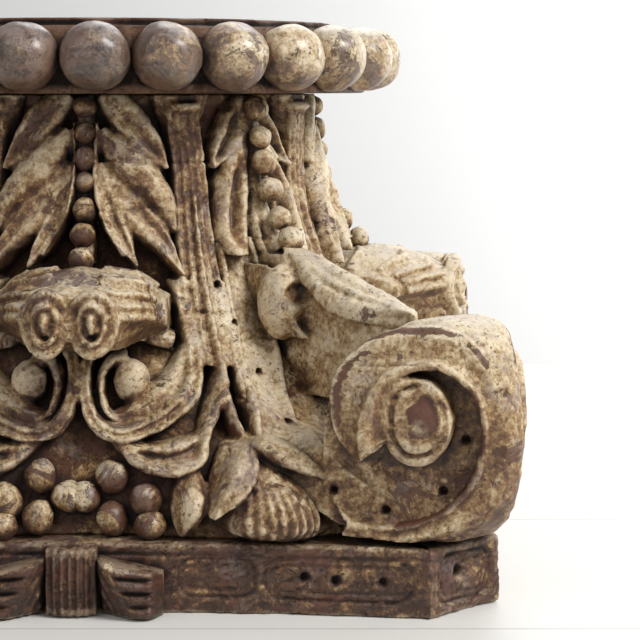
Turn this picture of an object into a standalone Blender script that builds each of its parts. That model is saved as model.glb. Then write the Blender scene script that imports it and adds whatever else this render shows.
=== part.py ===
"""Carved wooden Corinthian capital, kept upside down: it stands on its abacus, with the beaded ring on top.

Metres, +Z up. The origin is the centre of the abacus's underside, and the front face looks along -Y.
Azimuths are degrees from -Y towards +X, so a face's middle is at 0 and a corner at 45. Everything on
the bell is drawn once, between a face's middle and the corner to its right, then mirrored and turned.
"""

import math

import bmesh
import bpy
from mathutils import Matrix, Vector

# Abacus: a square slab with hollowed sides, cut corners, a fillet round its top edge and sunk panels.
ABACUS_HALF = 0.2445
CORNER_CUT = 0.0606
SIDE_HOLLOW = 0.017
ABACUS_THICK = 0.040
FILLET_THICK = 0.0085
FILLET_PROUD = 0.0025
PANEL_DEPTH = 0.004
PANEL_MARGIN = 0.007
PANEL_END = 0.009
EDGE_EASE = 0.0015
FLEURON_HALF = 0.056
FLEURON_GAP = 0.017
FLEURON_PROUD = 0.020
FLEURON_THICK = 0.034
FLEURON_GROOVE = 0.0016
FLEURON_ROOT = 0.020

# Bell: its core, then how far each kind of carving stands out from that core.
BELL_HEIGHT = 0.2517
NECK_RADIUS = 0.126
LIP_RADIUS = 0.204
LIP_SQUARENESS = 0.28
LEAF_RELIEF = 0.020
LOBE_HALF_WIDTH = 0.0125
FACE_TIP_REACH = 0.078
FACE_TIP_HALF_WIDTH = 0.029
FACE_TIP_THICK = 0.016
CORNER_TIP_REACH = 0.118
CORNER_TIP_HALF_WIDTH = 0.025
CORNER_TIP_THICK = 0.011
CORNER_WEB_THICK = 0.016
STALK_RELIEF = 0.015
STALK_HALF_WIDTH = 0.0125
BERRY_RADIUS = 0.0085
GRAPE_RADIUS = 0.0098
EGG_RADIUS = 0.0185

# Corner volutes: each is a wedge between a scroll on one face and its mirror on the next.
VOLUTE_RADIUS = 0.057
VOLUTE_EDGE_HALF = 0.0087
VOLUTE_OVERHANG = 0.0330
VOLUTE_SPLAY_DEG = 12.0
VOLUTE_EYE_HEIGHT = 0.0747
VOLUTE_RELIEF = 0.0085
VOLUTE_SINK = 0.0080
VOLUTE_CROWN = 0.0065
STEM_HALF_WIDTH = 0.0150
STEM_RIM = 0.0045

# Inner helices, in pairs at the middle of each face.
HELIX_RADIUS = 0.0300
HELIX_EYE_HEIGHT = 0.0860
HELIX_BAND = 0.0110

# Beaded ring on top.
RING_RADIUS = 0.1725
BEAD_RADIUS = 0.0206
BEAD_COUNT = 26
RING_FILLET = 0.0060
BOSS_RADIUS = 0.1490
BOSS_RISE = 0.0025

TOUCH_GAP = 0.0003
VOXEL = 0.0032
BELL_TRIANGLES = 5200
WOOD = (0.23, 0.15, 0.09)
PAINT = (0.56, 0.46, 0.30)

BELL_FOOT = ABACUS_THICK + TOUCH_GAP
BELL_TOP = BELL_FOOT + BELL_HEIGHT
CORNER_HALF = ABACUS_HALF - CORNER_CUT / math.sqrt(2)


def smooth_keys(keys, share):
    """A smooth curve through evenly spaced keys, which are equally long tuples; share runs from 0 to 1."""
    spans = len(keys) - 1
    place = min(max(share, 0.0), 1.0) * spans
    i = min(int(place), spans - 1)
    t = place - i
    before, a, b, after = (keys[min(max(i + k, 0), spans)] for k in (-1, 0, 1, 2))
    return [
        0.5 * (2 * q + (r - p) * t + (2 * p - 5 * q + 4 * r - s) * t**2 + (3 * q - p - 3 * r + s) * t**3)
        for p, q, r, s in zip(before, a, b, after)
    ]


def shares(count):
    return [i / (count - 1) for i in range(count)]


# The core's swelling from neck to lip, as shares of the whole flare, evenly spaced down the bell.
FLARE_KEYS = [(0.0,), (0.01,), (0.06,), (0.20,), (0.40,), (0.66,), (0.90,), (1.0,)]


def core_radius(height, azimuth):
    drop = (BELL_TOP - height) / BELL_HEIGHT
    flare = smooth_keys(FLARE_KEYS, drop)[0]
    radius = NECK_RADIUS + (LIP_RADIUS - NECK_RADIUS) * flare
    toward_corner = (1 - math.cos(math.radians(4 * azimuth))) / 2
    return radius * (1 + LIP_SQUARENESS * flare**2 * toward_corner)


def on_bell(azimuth, drop, out):
    """A point at a share of the way down the bell, that far out from its core."""
    height = BELL_TOP - drop * BELL_HEIGHT
    radius = core_radius(height, azimuth) + out
    turn = math.radians(azimuth)
    return Vector((radius * math.sin(turn), -radius * math.cos(turn), height))


def loft(bm, sections):
    """A closed skin over rings of points, each ring with as many points as the last."""
    rings = [[bm.verts.new(p) for p in section] for section in sections]
    count = len(rings[0])
    for low, high in zip(rings, rings[1:]):
        for i in range(count):
            j = (i + 1) % count
            bm.faces.new((low[i], low[j], high[j], high[i]))
    bm.faces.new(rings[0][::-1])
    bm.faces.new(rings[-1])


def ball(bm, centre, radii, turn=0.0):
    made = bmesh.ops.create_icosphere(bm, subdivisions=2, radius=1.0)["verts"]
    matrix = Matrix.Translation(centre) @ Matrix.Rotation(turn, 4, "Z") @ Matrix.Diagonal((*radii, 1.0))
    bmesh.ops.transform(bm, matrix=matrix, verts=made)


def strap(bm, points, outs, half_widths, depth, rim=0.0, steps=14):
    """A band along a path: outs point away from the wood, and a rim stands up along both its edges."""
    sections = []
    for share in shares(steps):
        here = Vector(smooth_keys(points, share))
        ahead = Vector(smooth_keys(points, min(share + 0.02, 1.0)))
        behind = Vector(smooth_keys(points, max(share - 0.02, 0.0)))
        out = Vector(smooth_keys(outs, share)).normalized()
        side = (ahead - behind).cross(out).normalized()
        half = smooth_keys(half_widths, share)[0]
        lip = min(STEM_RIM, 0.45 * half) if rim else 0.0
        sections.append(
            [
                here - side * half - out * depth,
                here - side * half + out * rim,
                here - side * (half - lip) + out * rim,
                here - side * (half - 1.5 * lip),
                here + side * (half - 1.5 * lip),
                here + side * (half - lip) + out * rim,
                here + side * half + out * rim,
                here + side * half - out * depth,
            ]
        )
    loft(bm, sections)


def lobe(bm, root, tip, half_width, root_out, tip_out, steps=7):
    """One tongue of a leaf: pointed at both ends, scooped along its middle, rising towards its tip.
    root and tip are (azimuth, drop) on the bell."""
    sections = []
    for share in shares(steps):
        azimuth = root[0] + (tip[0] - root[0]) * share**0.8
        drop = root[1] + (tip[1] - root[1]) * share
        radius = core_radius(BELL_TOP - drop * BELL_HEIGHT, azimuth)
        run = Vector((math.radians(tip[0] - root[0]) * radius, (tip[1] - root[1]) * BELL_HEIGHT))
        run.normalize()
        across = Vector((-run.y / math.radians(1) / radius, run.x / BELL_HEIGHT))
        half = half_width * (0.12 + 0.88 * math.sin(math.pi * min(0.96, 0.12 + 0.84 * share)) ** 0.75)
        out = root_out + (tip_out - root_out) * share
        ring = []
        for side, rise in ((-1.0, 0.35), (-0.72, 0.95), (0.0, 0.62), (0.72, 0.95), (1.0, 0.35), (0.0, -0.5)):
            here = (azimuth + across.x * half * side, drop + across.y * half * side)
            ring.append(on_bell(*here, out * rise))
        sections.append(ring)
    loft(bm, sections)


# Tongues on one side of a leaf: root and tip (degrees from the midrib, drop), then how wide in shares of
# LOBE_HALF_WIDTH and how far out in shares of LEAF_RELIEF.
FACE_LOBES = (
    ((3.0, -0.02), (18.5, 0.170), 0.95, 0.50, 0.85),
    ((2.5, 0.10), (19.5, 0.300), 1.15, 0.75, 1.20),
    ((2.5, 0.20), (20.3, 0.405), 1.20, 0.90, 1.50),
    ((1.5, 0.24), (10.8, 0.375), 0.95, 1.20, 1.60),
)
CORNER_LOBES = (
    ((1.5, 0.00), (12.5, 0.145), 0.88, 0.60, 1.00),
    ((1.0, 0.08), (13.0, 0.365), 1.05, 0.90, 1.40),
    ((1.0, 0.20), (8.0, 0.380), 1.00, 1.10, 1.75),
    ((0.5, 0.26), (1.5, 0.400), 0.88, 1.50, 1.80),
)


def leaf_side(bm, midrib, toward, lobes):
    for root, tip, half_width, root_out, tip_out in lobes:
        lobe(
            bm,
            (midrib + toward * root[0], root[1]),
            (midrib + toward * tip[0], tip[1]),
            half_width * LOBE_HALF_WIDTH,
            root_out * LEAF_RELIEF,
            tip_out * LEAF_RELIEF,
        )


# A midrib's line: (drop, out as a share of LEAF_RELIEF), from the ring down to where the tip turns out.
MIDRIB_KEYS = [(0.03, 0.65), (0.13, 0.75), (0.225, 0.95), (0.305, 1.25), (0.375, 1.60), (0.425, 1.95)]


def midrib(bm, azimuth):
    """The spine of a leaf and the row of berries along it."""
    spine = [on_bell(azimuth, drop, (out - 0.35) * LEAF_RELIEF) for drop, out in MIDRIB_KEYS]
    outs = [on_bell(azimuth, 0.3, 0.0).xy.to_3d()] * len(spine)
    halves = [(1.2 * BERRY_RADIUS,), (1.4 * BERRY_RADIUS,), (1.4 * BERRY_RADIUS,)]
    strap(bm, spine, outs, halves, LEAF_RELIEF)
    for drop, out in MIDRIB_KEYS:
        centre = on_bell(azimuth, drop, out * LEAF_RELIEF - 0.3 * BERRY_RADIUS)
        ball(bm, centre, (BERRY_RADIUS,) * 3)


# The line of a corner leaf's curled end: (along, fall) in shares of its reach, from its own drop on the bell.
CORNER_TIP_DROP = 0.385
CORNER_TIP_LINE = [(0.0, 0.0), (0.36, 0.05), (0.70, 0.12), (1.0, 0.21)]


def leaf_tip(bm, azimuth, from_drop, reach, keys, thick, half_width):
    """The end of a leaf, which curls out from the bell. keys are (along, fall) pairs, in shares of its reach."""
    turn = math.radians(azimuth)
    outward = Vector((math.sin(turn), -math.cos(turn), 0.0))
    sideways = Vector((outward.y, -outward.x, 0.0))
    start = on_bell(azimuth, from_drop, 0.2 * LEAF_RELIEF)
    sections = []
    for share in shares(7):
        along, fall = smooth_keys(keys, share)
        half = half_width * (0.70 + 0.40 * math.sin(math.pi * share) - 0.20 * share**3)
        ring = []
        for angle in range(0, 360, 45):
            c, s = math.cos(math.radians(angle)), math.sin(math.radians(angle))
            radius = start.xy.length + along * reach + 0.25 * s * thick
            height = start.z - fall * reach + s * thick
            ring.append(outward * radius + sideways * half * c + Vector((0, 0, height)))
        sections.append(ring)
    loft(bm, sections)


def corner_web(bm):
    """The wood left standing between a corner's curled leaf and the volute under it."""
    outward = Vector((1.0, -1.0, 0.0)).normalized()
    sideways = Vector((outward.y, -outward.x, 0.0)) * 0.5 * CORNER_WEB_THICK
    inner = on_bell(45.0, CORNER_TIP_DROP, 0.2 * LEAF_RELIEF)
    low = ABACUS_THICK + VOLUTE_EYE_HEIGHT
    sections = []
    for share in shares(4):
        along, fall = smooth_keys(CORNER_TIP_LINE, 0.95 * share)
        middle = outward * (inner.xy.length + along * CORNER_TIP_REACH)
        high = inner.z - fall * CORNER_TIP_REACH
        corners = ((-1, low), (1, low), (1, high), (-1, high))
        sections.append([middle + sideways * side + Vector((0, 0, z)) for side, z in corners])
    loft(bm, sections)


def stalk(bm):
    """The fluted stalk between two leaves, with a flat-topped funnel at the ring, and its two branches."""
    keys = [
        (24.9, 0.00, 1.35),
        (25.5, 0.08, 0.95),
        (26.3, 0.25, 0.95),
        (26.0, 0.42, 1.10),
        (25.5, 0.55, 1.15),
        (25.6, 0.68, 1.05),
    ]
    sections = []
    for share in shares(11):
        azimuth, drop, width = smooth_keys(keys, share)
        half = width * STALK_HALF_WIDTH / core_radius(BELL_TOP - drop * BELL_HEIGHT, azimuth)
        ring = []
        for side, rise in (
            (-1.0, -0.4), (-1.0, 0.55), (-0.62, 1.0), (-0.32, 0.70), (0.0, 1.1),
            (0.32, 0.70), (0.62, 1.0), (1.0, 0.55), (1.0, -0.4),
        ):
            ring.append(on_bell(azimuth + math.degrees(half) * side, drop, rise * STALK_RELIEF))
        sections.append(ring)
    loft(bm, sections)
    for end_azimuth, end_drop in ((18.0, 0.83), (26.2, 0.79)):
        path = []
        for share in shares(4):
            azimuth = 25.8 + (end_azimuth - 25.8) * share
            path.append(on_bell(azimuth, 0.62 + (end_drop - 0.62) * share, STALK_RELIEF))
        outs = [p.xy.to_3d().normalized() for p in path]
        halves = [(0.60 * STALK_HALF_WIDTH,), (0.48 * STALK_HALF_WIDTH,)]
        strap(bm, path, outs, halves, STALK_RELIEF * 1.5, steps=6)


SPLAY = math.radians(VOLUTE_SPLAY_DEG)
ALONG = Vector((math.cos(SPLAY), -math.sin(SPLAY), 0.0))
FACING = Vector((-math.sin(SPLAY), -math.cos(SPLAY), 0.0))
EDGE_MIDDLE = (ABACUS_HALF + CORNER_HALF) / 2 + VOLUTE_OVERHANG / math.sqrt(2)
SCROLL_EDGE = Vector((
    EDGE_MIDDLE - VOLUTE_EDGE_HALF / math.sqrt(2),
    -EDGE_MIDDLE - VOLUTE_EDGE_HALF / math.sqrt(2),
    ABACUS_THICK + VOLUTE_EYE_HEIGHT,
))
# The scroll's outline about its eye, in shares of VOLUTE_RADIUS, every 30 degrees from the corner side up.
SCROLL_OUTLINE = (0.757, 0.74, 0.80, 0.80, 0.87, 0.97, 1.00, 1.16, 1.30, 1.24, 1.17, 0.93)
EYE = SCROLL_EDGE - ALONG * VOLUTE_RADIUS * SCROLL_OUTLINE[0]
# Its two mouldings' edges, in shares of VOLUTE_RADIUS, in equal steps from MOULDING_START to MOULDING_END.
MOULDING_START = -125.0
MOULDING_END = 215.0
OUTER_EDGE = [(1.48,), (1.06,), (0.80,), (0.77,), (0.81,), (0.97,), (0.79,)]
MIDDLE_EDGE = [(1.40,), (0.92,), (0.655,), (0.577,), (0.58,), (0.61,), (0.785,)]
INNER_EDGE = [(1.28,), (0.84,), (0.58,), (0.505,), (0.465,), (0.41,), (0.47,)]


def on_scroll(angle, share, out):
    """A point on a scroll's face: polar about the eye, as a share of VOLUTE_RADIUS, that far out."""
    turn = math.radians(angle)
    flat = ALONG * math.cos(turn) + Vector((0, 0, math.sin(turn)))
    return EYE + flat * share * VOLUTE_RADIUS + FACING * out


def scroll_rim(angle):
    keys = [(v,) for v in SCROLL_OUTLINE + SCROLL_OUTLINE[:1]]
    return smooth_keys(keys, (angle % 360) / 360)[0]


def across_corner(point):
    """The same place on the next face, mirrored in the corner's diagonal."""
    return Vector((-point.y, -point.x, point.z))


def volute(bm):
    """The wedge of wood behind a corner's two scrolls, crowned between their mirrored outlines."""
    sections = []
    for share, crown in ((0.0, 0.0), (0.25, 0.75), (0.5, 1.0), (0.75, 0.75), (1.0, 0.0)):
        ring = []
        for angle in range(0, 360, 15):
            front = on_scroll(angle, scroll_rim(angle), -VOLUTE_SINK)
            lift = max(0.0, math.sin(math.radians(angle))) * crown * VOLUTE_CROWN
            ring.append(front.lerp(across_corner(front), share) + Vector((0, 0, lift)))
        sections.append(ring)
    loft(bm, sections)
    inner = core_radius(BELL_FOOT + 0.3 * BELL_HEIGHT, 45) * 0.6
    outer = EYE.xy.length
    heights = (
        (BELL_FOOT - VOXEL, 0.45 * VOLUTE_RADIUS),
        (EYE.z, 0.38 * VOLUTE_RADIUS),
        (EYE.z + 0.95 * VOLUTE_RADIUS, 0.25 * VOLUTE_RADIUS),
    )
    outward = Vector((1, -1, 0)).normalized()
    sideways = Vector((1, 1, 0)).normalized()
    corners = ((inner, -1), (outer, -1), (outer, 1), (inner, 1))
    loft(bm, [
        [outward * r + sideways * side * half + Vector((0, 0, z)) for r, side in corners]
        for z, half in heights
    ])


def moulding(bm, inner, outer, out_start, out_end, first=0.0):
    """A band winding up the scroll's face between two edges, rising as it winds."""
    sections = []
    for share in shares(20):
        share = first + (1 - first) * share
        angle = MOULDING_START + (MOULDING_END - MOULDING_START) * share
        low, high = smooth_keys(inner, share)[0], smooth_keys(outer, share)[0]
        out = out_start + (out_end - out_start) * share
        sections.append([
            on_scroll(angle, low, -1.6 * VOLUTE_SINK),
            on_scroll(angle, low, out),
            on_scroll(angle, 0.65 * low + 0.35 * high, out * 1.05),
            on_scroll(angle, high, out * 0.7),
            on_scroll(angle, high, -1.6 * VOLUTE_SINK),
        ])
    loft(bm, sections)


def scroll_face(bm):
    """The scroll carved on the wedge: two mouldings winding up to the eye, which stands proudest."""
    moulding(bm, MIDDLE_EDGE, OUTER_EDGE, -0.3 * VOLUTE_RELIEF, 0.7 * VOLUTE_RELIEF)
    moulding(bm, INNER_EDGE, MIDDLE_EDGE, -0.1 * VOLUTE_RELIEF, 1.2 * VOLUTE_RELIEF, first=0.1)
    ball(bm, on_scroll(180, 0.05, 0.0), (0.36 * VOLUTE_RADIUS, 1.3 * VOLUTE_RELIEF, 0.36 * VOLUTE_RADIUS))


def stem(bm):
    """The broad channel that leaves the bell, swings under the scroll and winds up to its eye."""
    path = []
    for azimuth, drop, out in (
        (36.9, 0.40, 0.50), (37.6, 0.49, 0.35), (36.8, 0.57, 0.25),
        (35.8, 0.65, 0.20), (34.5, 0.71, 0.35), (32.3, 0.755, 1.25),
    ):
        path.append(on_bell(azimuth, drop, out * STALK_RELIEF))
    turned = [p.xy.to_3d().normalized() for p in path]
    for angle, share in ((216, 1.22), (232, 1.12), (251, 0.98), (270, 0.84), (292, 0.66), (325, 0.47)):
        path.append(on_scroll(angle, share, -VOLUTE_SINK))
    outs = turned[:5] + [(turned[5] + FACING).normalized()] + [FACING] * 6
    widths = [0.75, 0.95, 1.0, 1.0, 1.0, 1.0, 0.95, 0.85, 0.80, 0.70, 0.55, 0.40]
    halves = [(w * STEM_HALF_WIDTH,) for w in widths]
    strap(bm, path, outs, halves, 0.7 * VOLUTE_RADIUS, rim=0.5 * STEM_RIM, steps=22)


HELIX_EYE_AZIMUTH = 9.2


def on_helix(angle, radius, out):
    """A point about a helix's eye, wound in the bell's own surface."""
    turn = math.radians(angle)
    height = ABACUS_THICK + HELIX_EYE_HEIGHT + radius * math.sin(turn)
    drop = (BELL_TOP - height) / BELL_HEIGHT
    around = core_radius(height, HELIX_EYE_AZIMUTH)
    return on_bell(HELIX_EYE_AZIMUTH + math.degrees(radius * math.cos(turn) / around), drop, out)


def helix(bm):
    """An inner helix: a band from the stalk that winds once round and in to a round eye."""
    path = []
    outs = []
    for share in shares(10):
        radius = HELIX_RADIUS * (1.0 - 0.40 * share)
        point = on_helix(60 - 400 * share, radius, STALK_RELIEF * (0.8 + 0.3 * share))
        path.append(point)
        outs.append(point.xy.to_3d().normalized())
    halves = [(0.30 * HELIX_BAND,), (0.50 * HELIX_BAND,), (0.45 * HELIX_BAND,), (0.35 * HELIX_BAND,)]
    strap(bm, path, outs, halves, STALK_RELIEF * 1.6, steps=24)
    ball(bm, on_helix(0, 0, STALK_RELIEF * 0.6), (HELIX_BAND, HELIX_BAND, HELIX_BAND))


def grapes(bm):
    """Four grapes, a bud beside them and the husk above them."""
    for azimuth, drop in ((5.9, 0.865), (10.8, 0.920), (5.8, 0.960), (11.4, 0.995)):
        ball(bm, on_bell(azimuth, drop, 0.3 * GRAPE_RADIUS), (GRAPE_RADIUS,) * 3)
    bud = (0.97 * GRAPE_RADIUS, 1.12 * GRAPE_RADIUS, 1.80 * GRAPE_RADIUS)
    ball(bm, on_bell(16.3, 0.925, 0.2 * GRAPE_RADIUS), bud, math.radians(16))
    husk = (2.20 * GRAPE_RADIUS, 1.50 * GRAPE_RADIUS, 0.80 * GRAPE_RADIUS)
    ball(bm, on_bell(13.3, 0.820, 0.2 * GRAPE_RADIUS), husk, math.radians(13))


def fan(bm):
    """The ribbed flower under the stalk's outer branch, with its two petals."""
    sections = []
    for share in shares(5):
        drop = 0.84 + 0.160 * share
        half = 1.5 + 3.8 * math.sin(math.pi / 2 * share)
        out = STALK_RELIEF * (1.0 + 1.0 * math.sin(math.pi * (0.25 + 0.5 * share)))
        ring = [on_bell(26.3 - half, drop, -0.25 * STALK_RELIEF)]
        for i in range(9):
            side = -1 + 2 * i / 8
            crown = math.sqrt(1.05 - side * side * 0.8)
            rib = out * crown * (1.0 if i % 2 else 0.86)
            ring.append(on_bell(26.3 + half * side, drop - 0.02 * side * side, rib))
        ring.append(on_bell(26.3 + half, drop, -0.25 * STALK_RELIEF))
        sections.append(ring)
    loft(bm, sections)
    for tip_azimuth, tip_drop in ((19.1, 0.925), (33.0, 0.850)):
        half_width = 0.8 * LOBE_HALF_WIDTH
        tip = (tip_azimuth, tip_drop)
        lobe(bm, (25.6, 0.79), tip, half_width, STALK_RELIEF * 1.6, STALK_RELIEF * 2.0, steps=6)


def egg(bm):
    """The round lobe under the corner leaf, in the hollow beside the volute."""
    centre = on_bell(40.5, 0.48, 1.85 * EGG_RADIUS)
    ball(bm, centre, (EGG_RADIUS, EGG_RADIUS, 1.35 * EGG_RADIUS), math.radians(40.5))


def tip_ribs(bm):
    """The ribbed piece at the side of a face leaf's curled tip."""
    path = [on_bell(azimuth, drop, 1.5 * LEAF_RELIEF) for azimuth, drop in ((4.0, 0.395), (14.5, 0.460))]
    outs = [p.xy.to_3d().normalized() for p in path]
    strap(bm, path, outs, [(0.60 * LEAF_RELIEF,), (0.68 * LEAF_RELIEF,)], 1.5 * LEAF_RELIEF, steps=4)


def core(bm):
    """The bell itself, round at the neck and squarer at the lip."""
    sections = []
    for share in shares(15):
        height = BELL_TOP + VOXEL - share * (BELL_HEIGHT + 2 * VOXEL)
        drop = (BELL_TOP - height) / BELL_HEIGHT
        sections.append([on_bell(azimuth, drop, 0.0) for azimuth in range(0, 360, 6)])
    loft(bm, sections)


def octant(bm):
    """What lies between a face's middle and the corner to its right."""
    leaf_side(bm, 0.0, 1, FACE_LOBES)
    leaf_side(bm, 45.0, -1, CORNER_LOBES)
    stalk(bm)
    stem(bm)
    scroll_face(bm)
    helix(bm)
    grapes(bm)
    fan(bm)
    egg(bm)
    tip_ribs(bm)


def quarter(bm):
    """What lies on a face's middle or on a corner, so is its own mirror image."""
    midrib(bm, 0.0)
    midrib(bm, 45.0)
    face_line = [(0.0, 0.02), (0.40, 0.12), (0.75, 0.22), (1.0, 0.36)]
    leaf_tip(bm, 0.0, 0.40, FACE_TIP_REACH, face_line, FACE_TIP_THICK, FACE_TIP_HALF_WIDTH)
    corner_size = (CORNER_TIP_THICK, CORNER_TIP_HALF_WIDTH)
    leaf_tip(bm, 45.0, CORNER_TIP_DROP, CORNER_TIP_REACH, CORNER_TIP_LINE, *corner_size)
    corner_web(bm)
    volute(bm)


def material(name, colour, roughness):
    made = bpy.data.materials.new(name)
    made.use_nodes = True
    shader = made.node_tree.nodes["Principled BSDF"]
    shader.inputs["Base Color"].default_value = (*colour, 1.0)
    shader.inputs["Roughness"].default_value = roughness
    shader.inputs["Metallic"].default_value = 0.0
    return made


def mesh_object(name, bm, collection, finish=None):
    bmesh.ops.recalc_face_normals(bm, faces=bm.faces)
    mesh = bpy.data.meshes.new(name)
    bm.to_mesh(mesh)
    bm.free()
    made = bpy.data.objects.new(name, mesh)
    collection.objects.link(made)
    if finish:
        mesh.materials.append(finish)
    return made


def helper_object(name, bm, collection):
    made = mesh_object(name, bm, collection)
    made.hide_render = True
    made.display_type = "WIRE"
    return made


def add_turned_copies(bm, draw, mirrored):
    """What draw makes, at each quarter turn and, where it is one-handed, mirrored as well."""
    once = bmesh.new()
    draw(once)
    source = bpy.data.meshes.new("once")
    once.to_mesh(source)
    once.free()
    for quarter_turn in range(4):
        for flip in (1, -1) if mirrored else (1,):
            before = set(bm.verts)
            bm.from_mesh(source)
            new = [v for v in bm.verts if v not in before]
            turn = Matrix.Rotation(math.radians(90 * quarter_turn), 4, "Z")
            matrix = turn @ Matrix.Diagonal((flip, 1, 1, 1))
            bmesh.ops.transform(bm, matrix=matrix, verts=new)
    bpy.data.meshes.remove(source)


def slab(bm, outline, low, high):
    loft(bm, [[Vector((x, y, z)) for x, y in outline] for z in (low, high)])


def make_bell(collection, helpers, finish):
    """Core and carving in one skin, thinned to facets, then cut flat at the lip and the neck."""
    bm = bmesh.new()
    core(bm)
    add_turned_copies(bm, octant, mirrored=True)
    add_turned_copies(bm, quarter, mirrored=False)
    bell = mesh_object("bell", bm, collection, finish)
    fuse = bell.modifiers.new("fuse", "REMESH")
    fuse.mode = "VOXEL"
    fuse.voxel_size = VOXEL
    even = bell.modifiers.new("even", "SMOOTH")
    even.factor = 0.5
    even.iterations = 2
    fused = bell.evaluated_get(bpy.context.evaluated_depsgraph_get())
    thin = bell.modifiers.new("thin", "DECIMATE")
    thin.ratio = min(1.0, BELL_TRIANGLES / (2 * len(fused.data.polygons)))
    reach = 2 * ABACUS_HALF
    square = [(reach, reach), (-reach, reach), (-reach, -reach), (reach, -reach)]
    cutter = bmesh.new()
    slab(cutter, square, BELL_FOOT, BELL_TOP)
    trim = bell.modifiers.new("trim", "BOOLEAN")
    trim.operation = "INTERSECT"
    trim.object = helper_object("bell_height", cutter, helpers)
    return bell


def abacus_outline(inset):
    """The slab's outline from above: four hollowed sides and four cut corners, moved in by inset."""
    outline = []
    for side in range(4):
        turn = math.radians(90 * side)
        for share in shares(7):
            along = -1 + 2 * share
            x = along * (CORNER_HALF - inset * math.tan(math.radians(22.5)))
            y = -(ABACUS_HALF - SIDE_HOLLOW * (1 - along**2) - inset)
            turned = Matrix.Rotation(turn, 2) @ Vector((x, y))
            outline.append((turned.x, turned.y))
    return outline


def stadium(bm, middle, half_length, half_height, reach):
    """A panel's outline with round ends, drawn out along -Y for cutting a side of the slab."""
    radius = min(half_height, half_length)
    outline = []
    for end, first in ((1, -90), (-1, 90)):
        for step in range(5):
            turn = math.radians(first + 45 * step)
            x = end * (half_length - radius) + radius * math.cos(turn)
            outline.append((x, radius * math.sin(turn)))
    loft(bm, [[Vector((middle.x + x, y, middle.y + z)) for x, z in outline] for y in (-reach, 0.0)])


def fleuron(bm):
    """The flower at the middle of a side: a pair of three-fingered leaves with a gap between them."""
    front = -(ABACUS_HALF - SIDE_HOLLOW)
    for toward in (1, -1):
        sections = []
        for share in shares(4):
            x = FLEURON_GAP + (FLEURON_HALF - FLEURON_GAP) * share
            proud = FLEURON_PROUD * (1 - 0.92 * share) ** 0.7
            top = FLEURON_THICK * (1 - 0.35 * share)
            back = Vector((toward * x, front + FLEURON_ROOT, 0.0))
            ring = [back, Vector((toward * x, front - proud, 0.0))]
            for i in range(1, 7):
                height = top * i / 6
                dip = FLEURON_GROOVE if i % 2 == 0 else 0.0
                ring.append(Vector((toward * x, front - proud * (1 - 0.25 * i / 6) + dip, height)))
            ring.append(Vector((toward * x, front + FLEURON_ROOT, top)))
            sections.append(ring if toward > 0 else ring[::-1])
        loft(bm, sections)


def make_abacus(collection, helpers, finish):
    """The slab the capital stands on, with its fillet, its sunk panels and its four flowers."""
    body_top = ABACUS_THICK - FILLET_THICK
    bm = bmesh.new()
    rows = (
        (0.0, FILLET_PROUD),
        (body_top - EDGE_EASE, FILLET_PROUD),
        (body_top, FILLET_PROUD + EDGE_EASE),
        (body_top + 0.8 * EDGE_EASE, 0.0),
        (ABACUS_THICK - EDGE_EASE, 0.0),
        (ABACUS_THICK, EDGE_EASE),
    )
    loft(bm, [[Vector((x, y, z)) for x, y in abacus_outline(inset)] for z, inset in rows])
    abacus = mesh_object("abacus", bm, collection, finish)

    floor = bmesh.new()
    slab(floor, abacus_outline(FILLET_PROUD + PANEL_DEPTH), -ABACUS_THICK, 2 * ABACUS_THICK)
    panels = bmesh.new()
    height = body_top / 2
    half_height = height - PANEL_MARGIN * 0.55
    panel_end = CORNER_HALF - PANEL_END
    long_half = (panel_end - FLEURON_HALF * 0.9) / 2
    reach = 2 * ABACUS_HALF
    for turn in range(8):
        before = set(panels.verts)
        if turn % 2:
            stadium(panels, Vector((0.0, height)), CORNER_CUT / 2 - PANEL_MARGIN, half_height, reach)
        else:
            for toward in (1, -1):
                centre = Vector((toward * (panel_end - long_half), height))
                stadium(panels, centre, long_half, half_height, reach)
        new = [v for v in panels.verts if v not in before]
        bmesh.ops.transform(panels, matrix=Matrix.Rotation(math.radians(45 * turn), 4, "Z"), verts=new)
    core_mesh = helper_object("panel_floor", floor, helpers)
    shell = helper_object("panel_cutter", panels, helpers)
    shell_cut = shell.modifiers.new("keep floor", "BOOLEAN")
    shell_cut.operation = "DIFFERENCE"
    shell_cut.object = core_mesh
    shell_cut.use_self = True
    sink = abacus.modifiers.new("sink panels", "BOOLEAN")
    sink.operation = "DIFFERENCE"
    sink.object = shell
    flowers = bmesh.new()
    add_turned_copies(flowers, fleuron, mirrored=False)
    add = abacus.modifiers.new("flowers", "BOOLEAN")
    add.operation = "UNION"
    add.object = helper_object("fleurons", flowers, helpers)
    return abacus


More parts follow.
